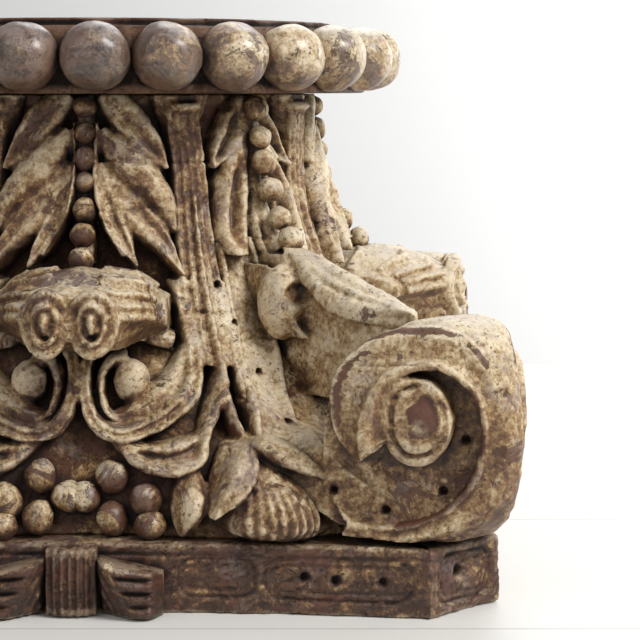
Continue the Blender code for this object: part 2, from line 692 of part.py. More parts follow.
def make_ring(collection, finish):
    """The necking ring: beads side by side round a turned board, with a low boss on top."""
    foot = BELL_TOP + TOUCH_GAP
    middle = foot + RING_FILLET * 0.2 + BEAD_RADIUS
    top = middle + BEAD_RADIUS + BOSS_RISE
    steps = 5
    neck = RING_RADIUS - 0.35 * BEAD_RADIUS
    bm = bmesh.new()
    sections = []
    for i in range(BEAD_COUNT * steps):
        turn = 2 * math.pi * i / (BEAD_COUNT * steps)
        across = 2 * (i % steps) / steps - 1
        swell = 0.62 + 0.38 * math.sqrt(max(0.0, 1 - across**2))
        outward = Vector((math.sin(turn), -math.cos(turn), 0.0))
        profile = [(BOSS_RADIUS, top), (BOSS_RADIUS, middle + BEAD_RADIUS * 0.93)]
        for step in range(7):
            angle = math.radians(108 - 35 * step)
            profile.append((
                RING_RADIUS + BEAD_RADIUS * swell * math.cos(angle) * 0.95,
                middle + BEAD_RADIUS * swell * math.sin(angle),
            ))
        profile = profile[:-1] + [(neck, foot + RING_FILLET * 0.25), (neck, foot)]
        sections.append([outward * r + Vector((0, 0, z)) for r, z in profile])
    rings = [[bm.verts.new(p) for p in section] for section in sections]
    count = len(rings[0])
    for here, ahead in zip(rings, rings[1:] + rings[:1]):
        for i in range(count - 1):
            bm.faces.new((here[i], here[i + 1], ahead[i + 1], ahead[i]))
    bm.faces.new([ring[0] for ring in rings])
    bm.faces.new([ring[-1] for ring in rings][::-1])
    return mesh_object("bead_ring", bm, collection, finish)


def main():
    for old in list(bpy.data.objects):
        bpy.data.objects.remove(old)
    capital = bpy.data.collections.new("corinthian_capital")
    helpers = bpy.data.collections.new("cutters")
    for collection in (capital, helpers):
        bpy.context.scene.collection.children.link(collection)
    carved = material("painted_carving", PAINT, 0.6)
    board = material("stained_wood", WOOD, 0.65)
    bell = make_bell(capital, helpers, carved)
    abacus = make_abacus(capital, helpers, board)
    ring = make_ring(capital, material("painted_beads", PAINT, 0.5))
    for made in (bell, abacus, ring):
        made.data.shade_smooth()
        made.data.set_sharp_from_angle(angle=math.radians(40))


main()
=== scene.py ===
import math

import bpy
import numpy as np
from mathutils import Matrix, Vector
from mathutils.bvhtree import BVHTree
from mathutils.kdtree import KDTree


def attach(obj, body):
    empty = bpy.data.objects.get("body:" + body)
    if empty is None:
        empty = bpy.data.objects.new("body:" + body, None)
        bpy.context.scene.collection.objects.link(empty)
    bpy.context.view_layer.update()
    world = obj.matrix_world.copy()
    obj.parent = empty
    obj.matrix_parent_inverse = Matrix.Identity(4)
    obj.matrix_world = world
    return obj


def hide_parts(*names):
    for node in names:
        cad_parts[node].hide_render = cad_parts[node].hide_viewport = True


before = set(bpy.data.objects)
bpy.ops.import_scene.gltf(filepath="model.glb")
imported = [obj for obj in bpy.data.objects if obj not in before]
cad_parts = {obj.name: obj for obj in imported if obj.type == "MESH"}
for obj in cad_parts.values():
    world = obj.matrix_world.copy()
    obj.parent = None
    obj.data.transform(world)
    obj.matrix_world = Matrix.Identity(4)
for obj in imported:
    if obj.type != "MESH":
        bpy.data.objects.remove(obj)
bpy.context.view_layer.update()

MM = 0.001

# The carving's sizes are in millimetres. Azimuths are degrees from a face's middle towards its corner.
ABACUS_THICK = 40.0
PANEL_MIDDLE = 20.5
ABACUS_HALF = 244.5
CORNER_HALF = 201.6
SIDE_HOLLOW = 17.0
BELL_FOOT = 40.35
BELL_TOP = 291.6
FLARE_TOP = 287.7
FLARE_DEPTH = 247.4
NECK_RADIUS = 126.0
LIP_RADIUS = 204.0
LIP_SQUARENESS = 0.28
FLARE = [0.0, 0.01, 0.06, 0.20, 0.40, 0.66, 0.90, 1.0]
SCROLL_EYE = np.array([198.0, -243.5, 115.0])
SCROLL_SPLAY = math.radians(12.0)
SCROLL_BACK = -14.0
BEAD_RING_RADIUS = 172.8
BEAD_COUNT = 26
BEAD_MIDDLE = 313.9
BEAD_RADIUS = 20.7
BOSS_RADIUS = 149.5
BOSS_TOP = 337.0
BERRY_RADIUS = 7.2
GRAPE_RADIUS = 9.6
GRAIN = 1.15
MOST_TRIANGLES = 197000
MOST_IN_VOLUTES = 192000


# Camera, table, wall and light

def placed(name, data, place=(0.0, 0.0, 0.0)):
    """An object in the scene that shows the data."""
    made = bpy.data.objects.new(name, data)
    made.location = place
    bpy.context.scene.collection.objects.link(made)
    return made


def look_from(name, place, pitch, lens):
    camera = bpy.data.cameras.new(name)
    camera.lens = lens
    camera.sensor_width = 36.0
    holder = placed(name, camera, place)
    holder.rotation_euler = (math.pi / 2 - pitch, 0.0, 0.0)
    bpy.context.scene.camera = holder


def stage_mesh(name, points, faces, material):
    mesh = bpy.data.meshes.new(name)
    mesh.from_pydata(points, [], faces)
    mesh.materials.append(material)
    made = placed(name, mesh)


def box_points(low, high):
    points = [(x, y, z) for x in (low[0], high[0]) for y in (low[1], high[1]) for z in (low[2], high[2])]
    faces = [(0, 1, 3, 2), (4, 6, 7, 5), (0, 4, 5, 1), (2, 3, 7, 6), (0, 2, 6, 4), (1, 5, 7, 3)]
    return points, faces


def soft_light(name, place, aim, size, power, colour):
    light = bpy.data.lights.new(name, "AREA")
    light.shape = "DISK"
    light.size = size
    light.energy = power
    light.color = colour
    holder = placed(name, light, place)
    holder.rotation_euler = (Vector(aim) - Vector(place)).to_track_quat("-Z", "Y").to_euler()


def studio(board_paint, wall_paint):
    """A pale table of wide boards, a pale wall behind it, and soft light from the upper right."""
    look_from("view", (0.140, -1.335, 0.2974), math.atan(235 / 2002), 112.6)
    stage_mesh("table", *box_points((-2.5, -3.0, -0.03), (2.5, 0.786, 0.0)), board_paint)
    stage_mesh("wall", *box_points((-4.0, 2.2, -2.0), (4.0, 2.25, 3.5)), wall_paint)
    soft_light("window", (1.35, -0.95, 1.55), (0.05, 0.0, 0.15), 0.9, 36.0, (1.0, 0.985, 0.96))
    soft_light("sky", (-1.3, -1.5, 1.5), (0.0, 0.0, 0.15), 1.8, 7.0, (0.97, 0.98, 1.0))
    soft_light("back", (0.3, 1.3, 1.9), (0.0, 0.2, 0.2), 1.6, 20.0, (1.0, 1.0, 1.0))
    soft_light("wall_wash", (2.1, 1.1, 0.6), (1.4, 2.2, 0.0), 0.8, 84.0, (1.0, 1.0, 1.0))
    world = bpy.data.worlds.new("room")
    world.use_nodes = True
    world.node_tree.nodes["Background"].inputs["Color"].default_value = (1.0, 1.0, 1.0, 1.0)
    world.node_tree.nodes["Background"].inputs["Strength"].default_value = 0.36
    bpy.context.scene.world = world
    bpy.context.scene.view_settings.view_transform = "Standard"


# Curves, and shapes gathered into one mesh

def through(keys, shares):
    """Points along a smooth curve through evenly spaced keys, at shares from 0 to 1."""
    keys = np.asarray(keys, float)
    single = keys.ndim == 1
    if single:
        keys = keys[:, None]
    spans = len(keys) - 1
    place = np.clip(np.asarray(shares, float), 0.0, 1.0) * spans
    i = np.minimum(place.astype(int), spans - 1)
    t = (place - i)[..., None]
    p, q, r, s = (keys[np.clip(i + k, 0, spans)] for k in (-1, 0, 1, 2))
    found = 0.5 * (2 * q + (r - p) * t + (2 * p - 5 * q + 4 * r - s) * t**2 + (3 * q - p - 3 * r + s) * t**3)
    return found[..., 0] if single else found


def unit(vectors):
    return vectors / np.maximum(np.linalg.norm(vectors, axis=-1, keepdims=True), 1e-9)


def ease(value, low, high):
    t = np.clip((np.asarray(value, float) - low) / (high - low), 0.0, 1.0)
    return t * t * (3 - 2 * t)


def hump(away, width):
    """1 in the middle, falling smoothly to nothing either way."""
    return np.exp(-((away / width) ** 2))


def wander(points, length, seed):
    """A smooth random field over the points, within about 1 either way, that changes over that length."""
    rng = np.random.default_rng(seed)
    waves = unit(rng.normal(size=(9, 3))) * rng.uniform(0.6, 1.4, (9, 1)) * 2 * math.pi / length
    return np.sin(points @ waves.T + rng.uniform(0, 2 * math.pi, 9)).sum(axis=1) / 4.0


class Carving:
    """Closed shapes gathered for one piece, as points and triangles."""

    def __init__(self):
        self.points = []
        self.triangles = []
        self.count = 0

    def add(self, points, triangles):
        a, b, c = (points[triangles[:, n]] - points.mean(axis=0) for n in range(3))
        if (a * np.cross(b, c)).sum() < 0:
            triangles = triangles[:, ::-1]
        self.points.append(points)
        self.triangles.append(triangles + self.count)
        self.count += len(points)

    def tube(self, rings):
        """A closed skin over rings of points, with its ends closed."""
        turns, around, _ = rings.shape
        points = np.concatenate([rings.reshape(-1, 3), rings[0].mean(axis=0)[None],
                                 rings[-1].mean(axis=0)[None]])
        i = np.arange(turns - 1)[:, None] * around
        j = np.arange(around)[None, :]
        k = (j + 1) % around
        near = np.stack([i + j, i + k, i + around + k], axis=-1)
        far = np.stack([i + j, i + around + k, i + around + j], axis=-1)
        j, k = j[0], k[0]
        last = (turns - 1) * around
        ends = [np.stack([k, j, np.full(around, len(points) - 2)], axis=-1),
                np.stack([last + j, last + k, np.full(around, len(points) - 1)], axis=-1)]
        self.add(points, np.concatenate([near.reshape(-1, 3), far.reshape(-1, 3)] + ends))

    def ball(self, centre, radii, turn=0.0, around=28):
        """An egg with its own three radii, turned about the upright axis."""
        up = np.linspace(-math.pi / 2, math.pi / 2, around // 2 + 1)[1:-1]
        turns = np.linspace(0, 2 * math.pi, around, endpoint=False)
        x = np.cos(up)[:, None] * np.cos(turns)[None, :] * radii[0]
        y = np.cos(up)[:, None] * np.sin(turns)[None, :] * radii[1]
        z = np.repeat(np.sin(up)[:, None], around, axis=1) * radii[2]
        c, s = math.cos(turn), math.sin(turn)
        self.tube(np.stack([x * c - y * s, x * s + y * c, z], axis=-1) + np.asarray(centre, float))

    def arrays(self):
        return np.concatenate(self.points), np.concatenate(self.triangles)


def skin(rings):
    """One closed skin by itself."""
    carving = Carving()
    carving.tube(rings)
    return carving.arrays()


def joined(*several):
    gathered = Carving()
    for points, triangles in several:
        gathered.points.append(points)
        gathered.triangles.append(triangles + gathered.count)
        gathered.count += len(points)
    return gathered.arrays()


def all_round(arrays, mirrored=True):
    """What one octant, or one quarter, holds, turned to go all the way round."""
    points, triangles = arrays
    copies = []
    for quarter in range(4):
        for flip in (1, -1) if mirrored else (1,):
            moved = points * np.array([flip, 1.0, 1.0])
            for _ in range(quarter):
                moved = np.stack([-moved[:, 1], moved[:, 0], moved[:, 2]], axis=-1)
            copies.append((moved, triangles[:, ::flip]))
    return joined(*copies)


# The bell's own surface, and strips that lie on it

def bell_radius(height, azimuth):
    flare = through(FLARE, (FLARE_TOP - np.asarray(height, float)) / FLARE_DEPTH)
    toward_corner = (1 - np.cos(np.radians(4 * np.asarray(azimuth, float)))) / 2
    squareness = 1 + LIP_SQUARENESS * flare**2 * toward_corner
    return (NECK_RADIUS + (LIP_RADIUS - NECK_RADIUS) * flare) * squareness


def on_bell(azimuth, height, out):
    azimuth, height, out = np.broadcast_arrays(azimuth, height, out)
    radius = bell_radius(height, azimuth) + out
    turn = np.radians(azimuth)
    return np.stack([radius * np.sin(turn), -radius * np.cos(turn), height], axis=-1)


def domed(u, s):
    """A rounded top."""
    return 0.25 + 0.75 * np.sqrt(np.clip(1 - u**2, 0, 1)) + 0 * s


def tongue(hollow=0.3, at=0.0, wide=0.38, start=0.15, end=0.9):
    """A leaf's finger: full at its sides, with a hollow scooped along it."""

    def height(u, s):
        full = 0.30 + 0.70 * np.clip(1 - np.abs(u) ** 3.2, 0, 1) ** 0.6
        along = ease(s, start, start + 0.25) * (1 - ease(s, end - 0.1, end + 0.1))
        return full - hollow * hump(u - at, wide) * along

    return height


def reeded(count, depth=0.35):
    """Rounded reeds side by side."""

    def height(u, s):
        place = np.clip((u + 1) / 2, 0, 0.9999) * count
        part = 2 * (place - np.floor(place)) - 1
        return (1 - depth) + depth * np.sqrt(np.clip(1 - part**2, 0, 1)) - 0.12 * np.abs(u) ** 2 + 0 * s

    return height


def almond(u, s):
    """A rim with a full kernel inside it."""
    inside = np.clip(1 - (np.abs(u) / 0.72) ** 2 - ((s - 0.52) / 0.42) ** 2, 0, 1)
    return 0.55 + 0.12 * np.clip(1 - np.abs(u) ** 8, 0, 1) + 0.45 * np.sqrt(inside)


def bell_strip(carving, path, half, out, height, along=30, across=13, root=-6.0):
    """A raised strip on the bell: its path in azimuth and height, its half-width, how proud it stands."""
    s = np.linspace(0, 1, along)
    centre = through(path, s)
    ahead = through(path, np.minimum(s + 0.01, 1)) - through(path, np.maximum(s - 0.01, 0))
    proud = through(out, s)
    wide = through(half, s)
    per_degree = math.radians(1) * (bell_radius(centre[:, 1], centre[:, 0]) + proud)
    run = unit(np.stack([ahead[:, 0] * per_degree, ahead[:, 1]], axis=-1))
    side = np.stack([-run[:, 1], run[:, 0]], axis=-1)
    u = np.linspace(-1, 1, across)[None, :]
    u = np.sign(u) * np.abs(u) ** 0.85
    azimuth = centre[:, :1] + side[:, :1] * wide[:, None] * u / per_degree[:, None]
    z = centre[:, 1:] + side[:, 1:] * wide[:, None] * u
    top = on_bell(azimuth, z, proud[:, None] * height(u, s[:, None]))
    walls = on_bell(azimuth[:, [-1, 0]], z[:, [-1, 0]], root)
    carving.tube(np.concatenate([top, walls], axis=1))


def free_strip(carving, centre, side, outward, half, lift, height, across=13, root=-6.0):
    """A raised strip along any line: side points across it and outward away from the wood."""
    s = np.linspace(0, 1, len(centre))
    u = np.linspace(-1, 1, across)[None, :, None]
    rise = (np.broadcast_to(lift, s.shape)[:, None] * height(u[..., 0], s[:, None]))[..., None]
    half = np.broadcast_to(half, s.shape)[:, None, None]
    top = centre[:, None, :] + side[:, None, :] * half * u + outward[:, None, :] * rise
    low = centre[:, None, :] + side[:, None, :] * half * u[:, [-1, 0]] + outward[:, None, :] * root
    carving.tube(np.concatenate([top, low], axis=1))


# The leaves

def face_leaf(leaves):
    """Half of the leaf at a face's middle: three fingers, the last of them ending in two points."""
    bell_strip(leaves, [(4.6, 293), (9.8, 280), (14.8, 266), (20.0, 248)], [7, 10.5, 11, 9, 2.5],
               [10, 14, 17, 18], tongue(0.34, -0.1, 0.42), along=36, across=17)
    bell_strip(leaves, [(4.0, 271), (8.6, 255), (14.2, 240), (18.6, 226), (20.8, 210)],
               [3.5, 9.5, 12.5, 12.5, 8.5, 1.5], [12, 18, 22.5, 23.5, 19],
               tongue(0.16, -0.62, 0.25, 0.3, 0.8), along=40, across=19)
    bell_strip(leaves, [(4.5, 247), (8.8, 231), (13.5, 217), (17.8, 203), (21.5, 184)],
               [4, 9, 11.5, 11, 6.5, 0.6], [13, 18, 22, 25, 27], tongue(0.20, 0.15, 0.3), along=40,
               across=17)
    bell_strip(leaves, [(3.6, 252), (4.6, 235), (6.6, 218), (9.0, 205), (11.6, 190)],
               [3, 7, 9, 8, 5.5, 0.6], [13.5, 18, 22, 26, 28], tongue(0.24, 0.1, 0.3), along=40, across=17)
    bell_strip(leaves, [(4.4, 250), (8.0, 234), (10.8, 220), (12.4, 209)], [2, 9, 11, 10, 2],
               [12, 15.5, 18.5, 20, 21], tongue(0.12, 0.0, 0.5), along=30, across=15)
    bell_strip(leaves, [(2.9, 275), (2.5, 255), (2.7, 238), (3.9, 222), (6.2, 208), (8.6, 197)],
               [1.0, 1.7, 1.9, 1.9, 1.8, 1.0], [12, 16, 20.5, 24, 27, 28], domed, across=7)
    bell_strip(leaves, [(0.0, 291), (0.0, 262), (0.0, 235), (0.0, 210), (0.0, 192)], [5, 6, 6.5, 7, 7],
               [9, 11, 13, 18, 27], domed, along=26, across=9)


def corner_leaf(leaves):
    """Half of the leaf at a corner: two scooped fingers and a pointed one beside the midrib."""
    bell_strip(leaves, [(43.6, 291), (40.8, 277), (37.4, 264), (32.0, 248)], [3, 8.5, 10, 8, 1.8],
               [10, 14, 17, 18], tongue(0.62, 0.0, 0.45), along=36, across=17)
    bell_strip(leaves, [(43.6, 273), (40.7, 255), (38.2, 239), (36.8, 224), (35.8, 209), (35.6, 195)],
               [2.5, 6.5, 11, 13, 13.2, 12.4, 9], [12, 16, 20, 22, 23, 24],
               tongue(0.50, 0.12, 0.38, 0.15, 0.86), along=44, across=21)
    bell_strip(leaves, [(45.2, 243), (44.6, 227), (43.9, 212), (43.2, 200), (43.4, 187)],
               [2, 6.5, 7.5, 6.5, 1], [14, 19, 24, 28, 31], tongue(0.3, -0.2, 0.3), along=34)
    bell_strip(leaves, [(45.0, 291), (45.0, 262), (45.0, 235), (45.0, 212), (45.0, 198)],
               [4.5, 5.5, 6, 6.5, 7.5], [12, 15, 19, 25, 34], domed, along=26, across=9)


def corner_tongue(leaves):
    """Half of the pointed end of a corner's leaf, which lies over the volute."""
    outward = np.array([1, -1, 0]) / math.sqrt(2)
    aside = np.array([-1, -1, 0]) / math.sqrt(2)
    up = np.array([0, 0, 1.0])
    s = np.linspace(0, 1, 44)
    ridge = through([(168, 203), (194, 195), (219, 188), (243, 180), (261, 173), (276, 166)], s)
    edge = through([(176, 194, 7), (203, 182, 15), (221, 171.5, 18), (240, 167, 15.5), (258, 165.5, 8),
                    (276, 165, 0.5)], s)
    rings = []
    for v in np.linspace(0, 1, 21):
        reach = ridge[:, :1] * (1 - v) + edge[:, :1] * v
        height = ridge[:, 1:] * (1 - v) + edge[:, 1:2] * v
        across = edge[:, 2:] * v
        groove = sum(hump(v - at, 0.055) for at in (0.30, 0.62))
        bulge = 4.5 * math.sin(math.pi * v) - 3.6 * groove * ease(s, 0.10, 0.3) * (1 - ease(s, 0.8, 0.97))
        lift = (0.55 * up + 0.6 * aside) * bulge[:, None]
        rings.append(reach * outward + across * aside + height * up + lift)
    low = [rings[-1] - 6.0 * up, rings[0] - 14.0 * up]
    leaves.tube(np.stack(rings + low, axis=1))
    web = []
    for reach, top in ((150, 200), (185, 192), (215, 180), (245, 168), (268, 158)):
        for_side = [(0.0, 112), (8.0, 112), (8.0, top - 6), (0.0, top)]
        web.append([reach * outward + w * aside + z * up for w, z in for_side])
    leaves.tube(np.array(web))


def nose(leaves):
    """Half of the rolled end of a face's leaf: its ribbed side and, in front, a small whorl."""
    turns = np.linspace(0, 2 * math.pi, 72, endpoint=False)

    def section(x, turn):
        reach = 231 - 4 * x / 51 - 36 * ease(x, 20, 51)
        top = 193 - 10 * x / 51 - 8 * ease(x, 30, 51)
        low = 146 + 8 * ease(x, 22, 51)
        middle = (top + low) / 2
        c, s = np.cos(turn), np.sin(turn)
        y = -((reach + 138) / 2 + (reach - 138) / 2 * np.sign(c) * np.abs(c) ** 0.75)
        sag = 9.0 * ease(-y, 170, 232) * (s > -0.2)
        z = middle + (top - low) / 2 * np.sign(s) * np.abs(s) ** 0.8 - sag
        under = ease(x, 24, 31) * ease(c, 0.05, 0.4) * (1 - ease(z, middle - 9, middle - 3))
        return np.stack([np.full_like(y, x), y + 14 * under, z], axis=-1)

    places = np.concatenate([np.linspace(0, 22, 9), np.linspace(23, 51, 24)])
    leaves.tube(np.stack([section(x, turns) for x in places]))
    shares = np.linspace(0, 1, 26)
    for first, last in ((28, 8), (46, 27), (64, 48), (84, 72), (106, 100)):
        line = np.array([section(13 + 31 * t, np.radians([first + (last - first) * t]))[0] for t in shares])
        outward = unit((line - np.array([0, -190.0, 168.0])) * np.array([0.25, 1, 1]))
        side = unit(np.cross(unit(np.gradient(line, axis=0)), outward))
        thick = 2.5 * ease(shares, -0.1, 0.15)
        free_strip(leaves, line, side, outward, thick, 3.4, domed, across=7)
    turns = np.linspace(0, 2 * math.pi, 49)
    for wide, tall, thick, proud in ((12.0, 17.0, 2.8, 230.5), (6.8, 11.0, 2.2, 233.5)):
        bow = 0.5 * wide * np.cos(turns) ** 2
        centre = np.stack([13.0 + wide * np.cos(turns), bow - proud, 165 + tall * np.sin(turns)], axis=-1)
        outward = np.tile([0.0, -1.0, 0.0], (len(turns), 1))
        side = np.cross(unit(np.gradient(centre, axis=0)), outward)
        free_strip(leaves, centre, side, outward, thick, 3.5, domed, across=7)
    leaves.ball((13.0, -232.5, 165.5), (3.0, 5.0, 7.0), around=20)


def knob(leaves):
    """The rounded knob in the hollow beside the volute, and the small pointed folds next to it."""
    leaves.ball((117.5, -135.5, 167.5), (15.5, 15.5, 22.5), around=44)
    bell_strip(leaves, [(38.9, 190), (39.7, 178), (40.6, 163), (41.6, 147)], [0.6, 4.4, 5.4, 3.0],
               [34, 42, 43, 38], tongue(0.2, 0.1, 0.5), across=11)
    bell_strip(leaves, [(42.0, 196), (42.3, 182), (42.9, 166), (43.8, 150)], [0.6, 4.2, 4.8, 2.6],
               [40, 47, 49, 44], tongue(0.25, 0.0, 0.5), across=11)


# Stalks, helices and what hangs under them

def stalk(stems):
    """The reeded stalk, which widens to a flat lip at the top and splits in two below."""
    bell_strip(stems,
               [(24.9, 286), (25.0, 272), (26.1, 250), (26.5, 225), (26.3, 200), (26.1, 175), (25.9, 152),
                (25.6, 133)], [12.5, 11.5, 11.5, 12.5, 13.5, 15, 16, 13],
               [15, 14.5, 14.5, 15, 16, 17, 18, 17], reeded(5, 0.5), along=60, across=41)
    bell_strip(stems, [(24.8, 287), (24.8, 284), (24.8, 280.5)], [13.0, 13.4, 12.4], [18, 20, 16], domed,
               along=10)
    bell_strip(stems, [(24.8, 292), (24.9, 280), (25.2, 258)], [20, 16, 9], [14, 12, 8],
               tongue(0.25, 0.0, 0.5), along=20)
    bell_strip(stems, [(26.6, 232), (26.4, 200), (26.2, 170), (26.0, 145), (25.6, 124)],
               [2.2, 3.0, 3.6, 4.2, 4.0], [17, 19, 20.5, 21, 21], domed, along=36, across=9)
    bell_strip(stems, [(25.6, 130), (24.2, 118), (22.4, 108), (20.6, 97), (18.8, 84)],
               [3.6, 4.4, 4.2, 3.4, 2.0], [20, 19, 18, 17, 15], domed, along=26, across=9)
    bell_strip(stems, [(25.5, 130), (25.3, 117), (25.4, 105), (26.0, 91)], [3.6, 3.8, 4.0, 3.6],
               [20, 19, 19.5, 22], domed, along=22, across=9)
    bell_strip(stems, [(30.5, 180), (30.2, 160), (29.9, 140), (29.3, 122), (28.8, 107), (28.2, 90)],
               [5, 5.2, 5, 4.8, 4.4, 4.0], [15.5, 17, 17, 17, 18.5, 22], reeded(2, 0.45), along=40,
               across=17)


def helix(stems):
    """The band that leaves the stalk, sweeps under and winds in to its round eye."""
    bell_strip(stems,
               [(20.8, 182), (21.4, 160), (21.6, 141), (20.0, 122), (15.6, 108.5), (11.2, 101), (7.2, 97.5),
                (3.8, 101), (1.7, 112), (0.9, 126), (1.6, 139.5), (4.2, 148.5), (8.6, 151.5),
                (13.0, 149.5)], [4.6, 5.4, 5.8, 6.0, 5.8, 5.4, 5.0, 4.8, 4.6, 4.4, 4.3, 4.3, 3.8, 2.6],
               [15.5, 17, 17.5, 18, 18.5, 18.5, 18.5, 18, 18, 18, 18, 18.5, 18, 15], reeded(2, 0.5),
               along=150, across=17)
    bell_strip(stems, [(6.8, 104), (4.9, 110), (4.0, 120), (4.2, 130), (6.0, 138), (9.0, 139)],
               [1.5, 2.6, 3.2, 3.6, 4.5, 5.5], [11, 14, 16, 18, 20, 19], domed, along=50, across=9)
    bell_strip(stems, [(20.3, 146), (18.6, 130), (15.4, 117), (10.4, 107.5), (5.2, 105)],
               [1.5, 6.5, 9.5, 8, 2], [13, 15.5, 16, 14.5, 10], tongue(0.30, 0.2, 0.6, 0.05, 1.0), along=34,
               across=15)
    bell_strip(stems, [(0.6, 147), (4.2, 157), (9.0, 158), (14.2, 152), (18.6, 147)], [1.5, 4, 5.5, 7.5, 6],
               [14, 16, 15.5, 14, 12], domed, along=34, across=11)
    stems.ball(on_bell(9.6, 125.5, 9.0), (10.6, 10.6, 13.2), around=34)


def husk(stems):
    """The scooped husk and the bud under a helix."""
    bell_strip(stems, [(6.0, 93), (10.3, 86), (14.6, 83.5), (18.4, 88), (20.8, 98)],
               [1.2, 7.5, 10, 8.5, 1.5], [12, 17, 19, 18, 12], tongue(0.55, 0.1, 0.42, 0.10, 0.96),
               along=38, across=19)
    bell_strip(stems, [(18.4, 83), (17.5, 70), (16.5, 56), (15.6, 42)], [0.8, 7.0, 9.6, 7.6, 1.2],
               [10, 17, 19, 13], almond, along=38, across=23)


def fan(stems):
    """The ribbed shell between its two petals."""
    reeds = reeded(9, 0.26)

    def shell(u, s):
        return reeds(u, s) * (1 - 0.30 * np.abs(u) ** 2.5)

    bell_strip(stems, [(25.6, 88), (26.2, 74), (26.6, 60), (26.9, 48), (26.9, 40.6)],
               [3, 13.5, 22, 26, 24, 15], [20, 29, 33, 32, 26, 12], shell, along=60, across=101)
    bell_strip(stems, [(26.0, 94), (24.4, 85), (22.2, 73), (18.8, 56)], [2, 7.4, 8.8, 7.4, 0.8],
               [22, 33, 36, 31], tongue(0.10, -0.1), along=34, across=15)
    bell_strip(stems, [(25.6, 94), (28.0, 91.5), (30.8, 85), (33.8, 75.0)], [1.2, 7.8, 9.0, 7, 0.7],
               [30, 40, 41, 34], tongue(0.08, 0.0, 0.5), along=34, across=15)


# The volutes

ALONG = np.array([math.cos(SCROLL_SPLAY), -math.sin(SCROLL_SPLAY), 0.0])
FACING = np.array([-math.sin(SCROLL_SPLAY), -math.cos(SCROLL_SPLAY), 0.0])
# The wedge's outline about the eye, every 15 degrees from the corner side upwards.
WEDGE_OUTLINE = [43.3, 41.8, 42.0, 44.2, 45.7, 45.7, 45.6, 47.0, 49.8, 53.6, 55.8, 56.0, 58.0, 62.0, 68.0,
                 74.0, 77.0, 74.0, 68.0, 63.0, 59.0, 55.0, 50.5, 46.3]
# Three lines wind in together, every 20 degrees from where the stem comes in, once round and on.
WIND = np.radians(np.arange(235, 576, 20))
OUTER_LINE = [84, 71, 63.3, 58.4, 55, 49.8, 45, 42, 42.3, 45, 45.8, 46, 48.6, 53, 55.6, 54, 51, 45]
MIDDLE_LINE = [80, 68, 58.5, 51.6, 45.2, 39.4, 36.2, 35, 33.8, 33.1, 33, 33.2, 33.4, 33.8, 34.8, 37, 40.2,
               44.6]
INNER_LINE = [74, 64, 55.8, 47, 39.8, 34.8, 32.2, 30.4, 29, 28.8, 28.6, 26.9, 26.2, 25.2, 23.6, 22.4, 23.8,
              27.5]
EYE_OUTLINE = [16.2, 15.8, 18.5, 22.5, 24.8, 24.4, 22.4, 25.0, 27.4, 26.0, 21.8, 18.0]


def on_scroll(angle, radius, out):
    angle, radius, out = (v[..., None] for v in np.broadcast_arrays(angle, radius, out))
    way = ALONG * np.cos(angle) + np.array([0, 0, 1.0]) * np.sin(angle)
    return SCROLL_EYE + way * radius + FACING * out


def round_outline(outline, angle):
    return through(outline + outline[:1], (np.asarray(angle) / (2 * math.pi)) % 1.0)


def wedge(scrolls):
    """The wood behind a corner's two scrolls, dished on each face and crowned between them."""
    angle = np.linspace(0, 2 * math.pi, 150, endpoint=False)
    rim = round_outline(WEDGE_OUTLINE, angle)
    front = [(0.25, -9.5), (0.55, -9.5), (0.78, -9.2), (0.90, -8.6), (0.955, -7.0), (0.965, -1.0),
             (1.0, -0.3)]
    joins = ease(angle, math.radians(140), math.radians(168))
    joins = joins * (1 - ease(angle, math.radians(216), math.radians(236)))
    rows = [on_scroll(angle, rim * share, out - (out + 9.5) * joins) for share, out in front]
    mirrored = [row[:, [1, 0, 2]] * np.array([-1, -1, 1]) for row in rows]
    up, right = np.sin(angle), np.cos(angle)
    lift = 8.0 * np.clip(up, 0, 1) ** 0.8 - 9.0 * np.clip(-up, 0, 1) ** 1.2 * ease(right, -0.3, 0.3)
    band = []
    for t in np.linspace(0, 1, 40)[1:-1]:
        swell = (1 - (2 * t - 1) ** 4) ** 0.8
        line = -1.8 * (math.exp(-(((t - 0.14) / 0.03) ** 2)) + math.exp(-(((t - 0.86) / 0.03) ** 2)))
        middle = rows[-1] * (1 - t) + mirrored[-1] * t
        middle[:, 2] += lift * swell + line * np.sign(up)
        outward = np.clip(right, 0, 1)[:, None] * (1.5 * swell + line)
        middle[:, :2] += (np.array([1, -1]) / math.sqrt(2)) * outward
        middle[:, 2] = np.maximum(middle[:, 2], 41.0)
        band.append(middle)
    scrolls.tube(np.stack(rows + band + mirrored[::-1]))


def winding(scrolls, inner, outer, section, first=0.0):
    """One of the scroll's mouldings between two lines; section says how far out it is, across and along."""
    s = np.linspace(first, 1, 190)
    angle = through(WIND, s)
    low, high = through(inner, s), through(outer, s)
    columns = [on_scroll(angle, low, SCROLL_BACK)]
    for v in np.linspace(0, 1, 17):
        columns.append(on_scroll(angle, low * (1 - v) + high * v, section(v, s)))
    columns.append(on_scroll(angle, high, SCROLL_BACK))
    scrolls.tube(np.stack(columns, axis=1))


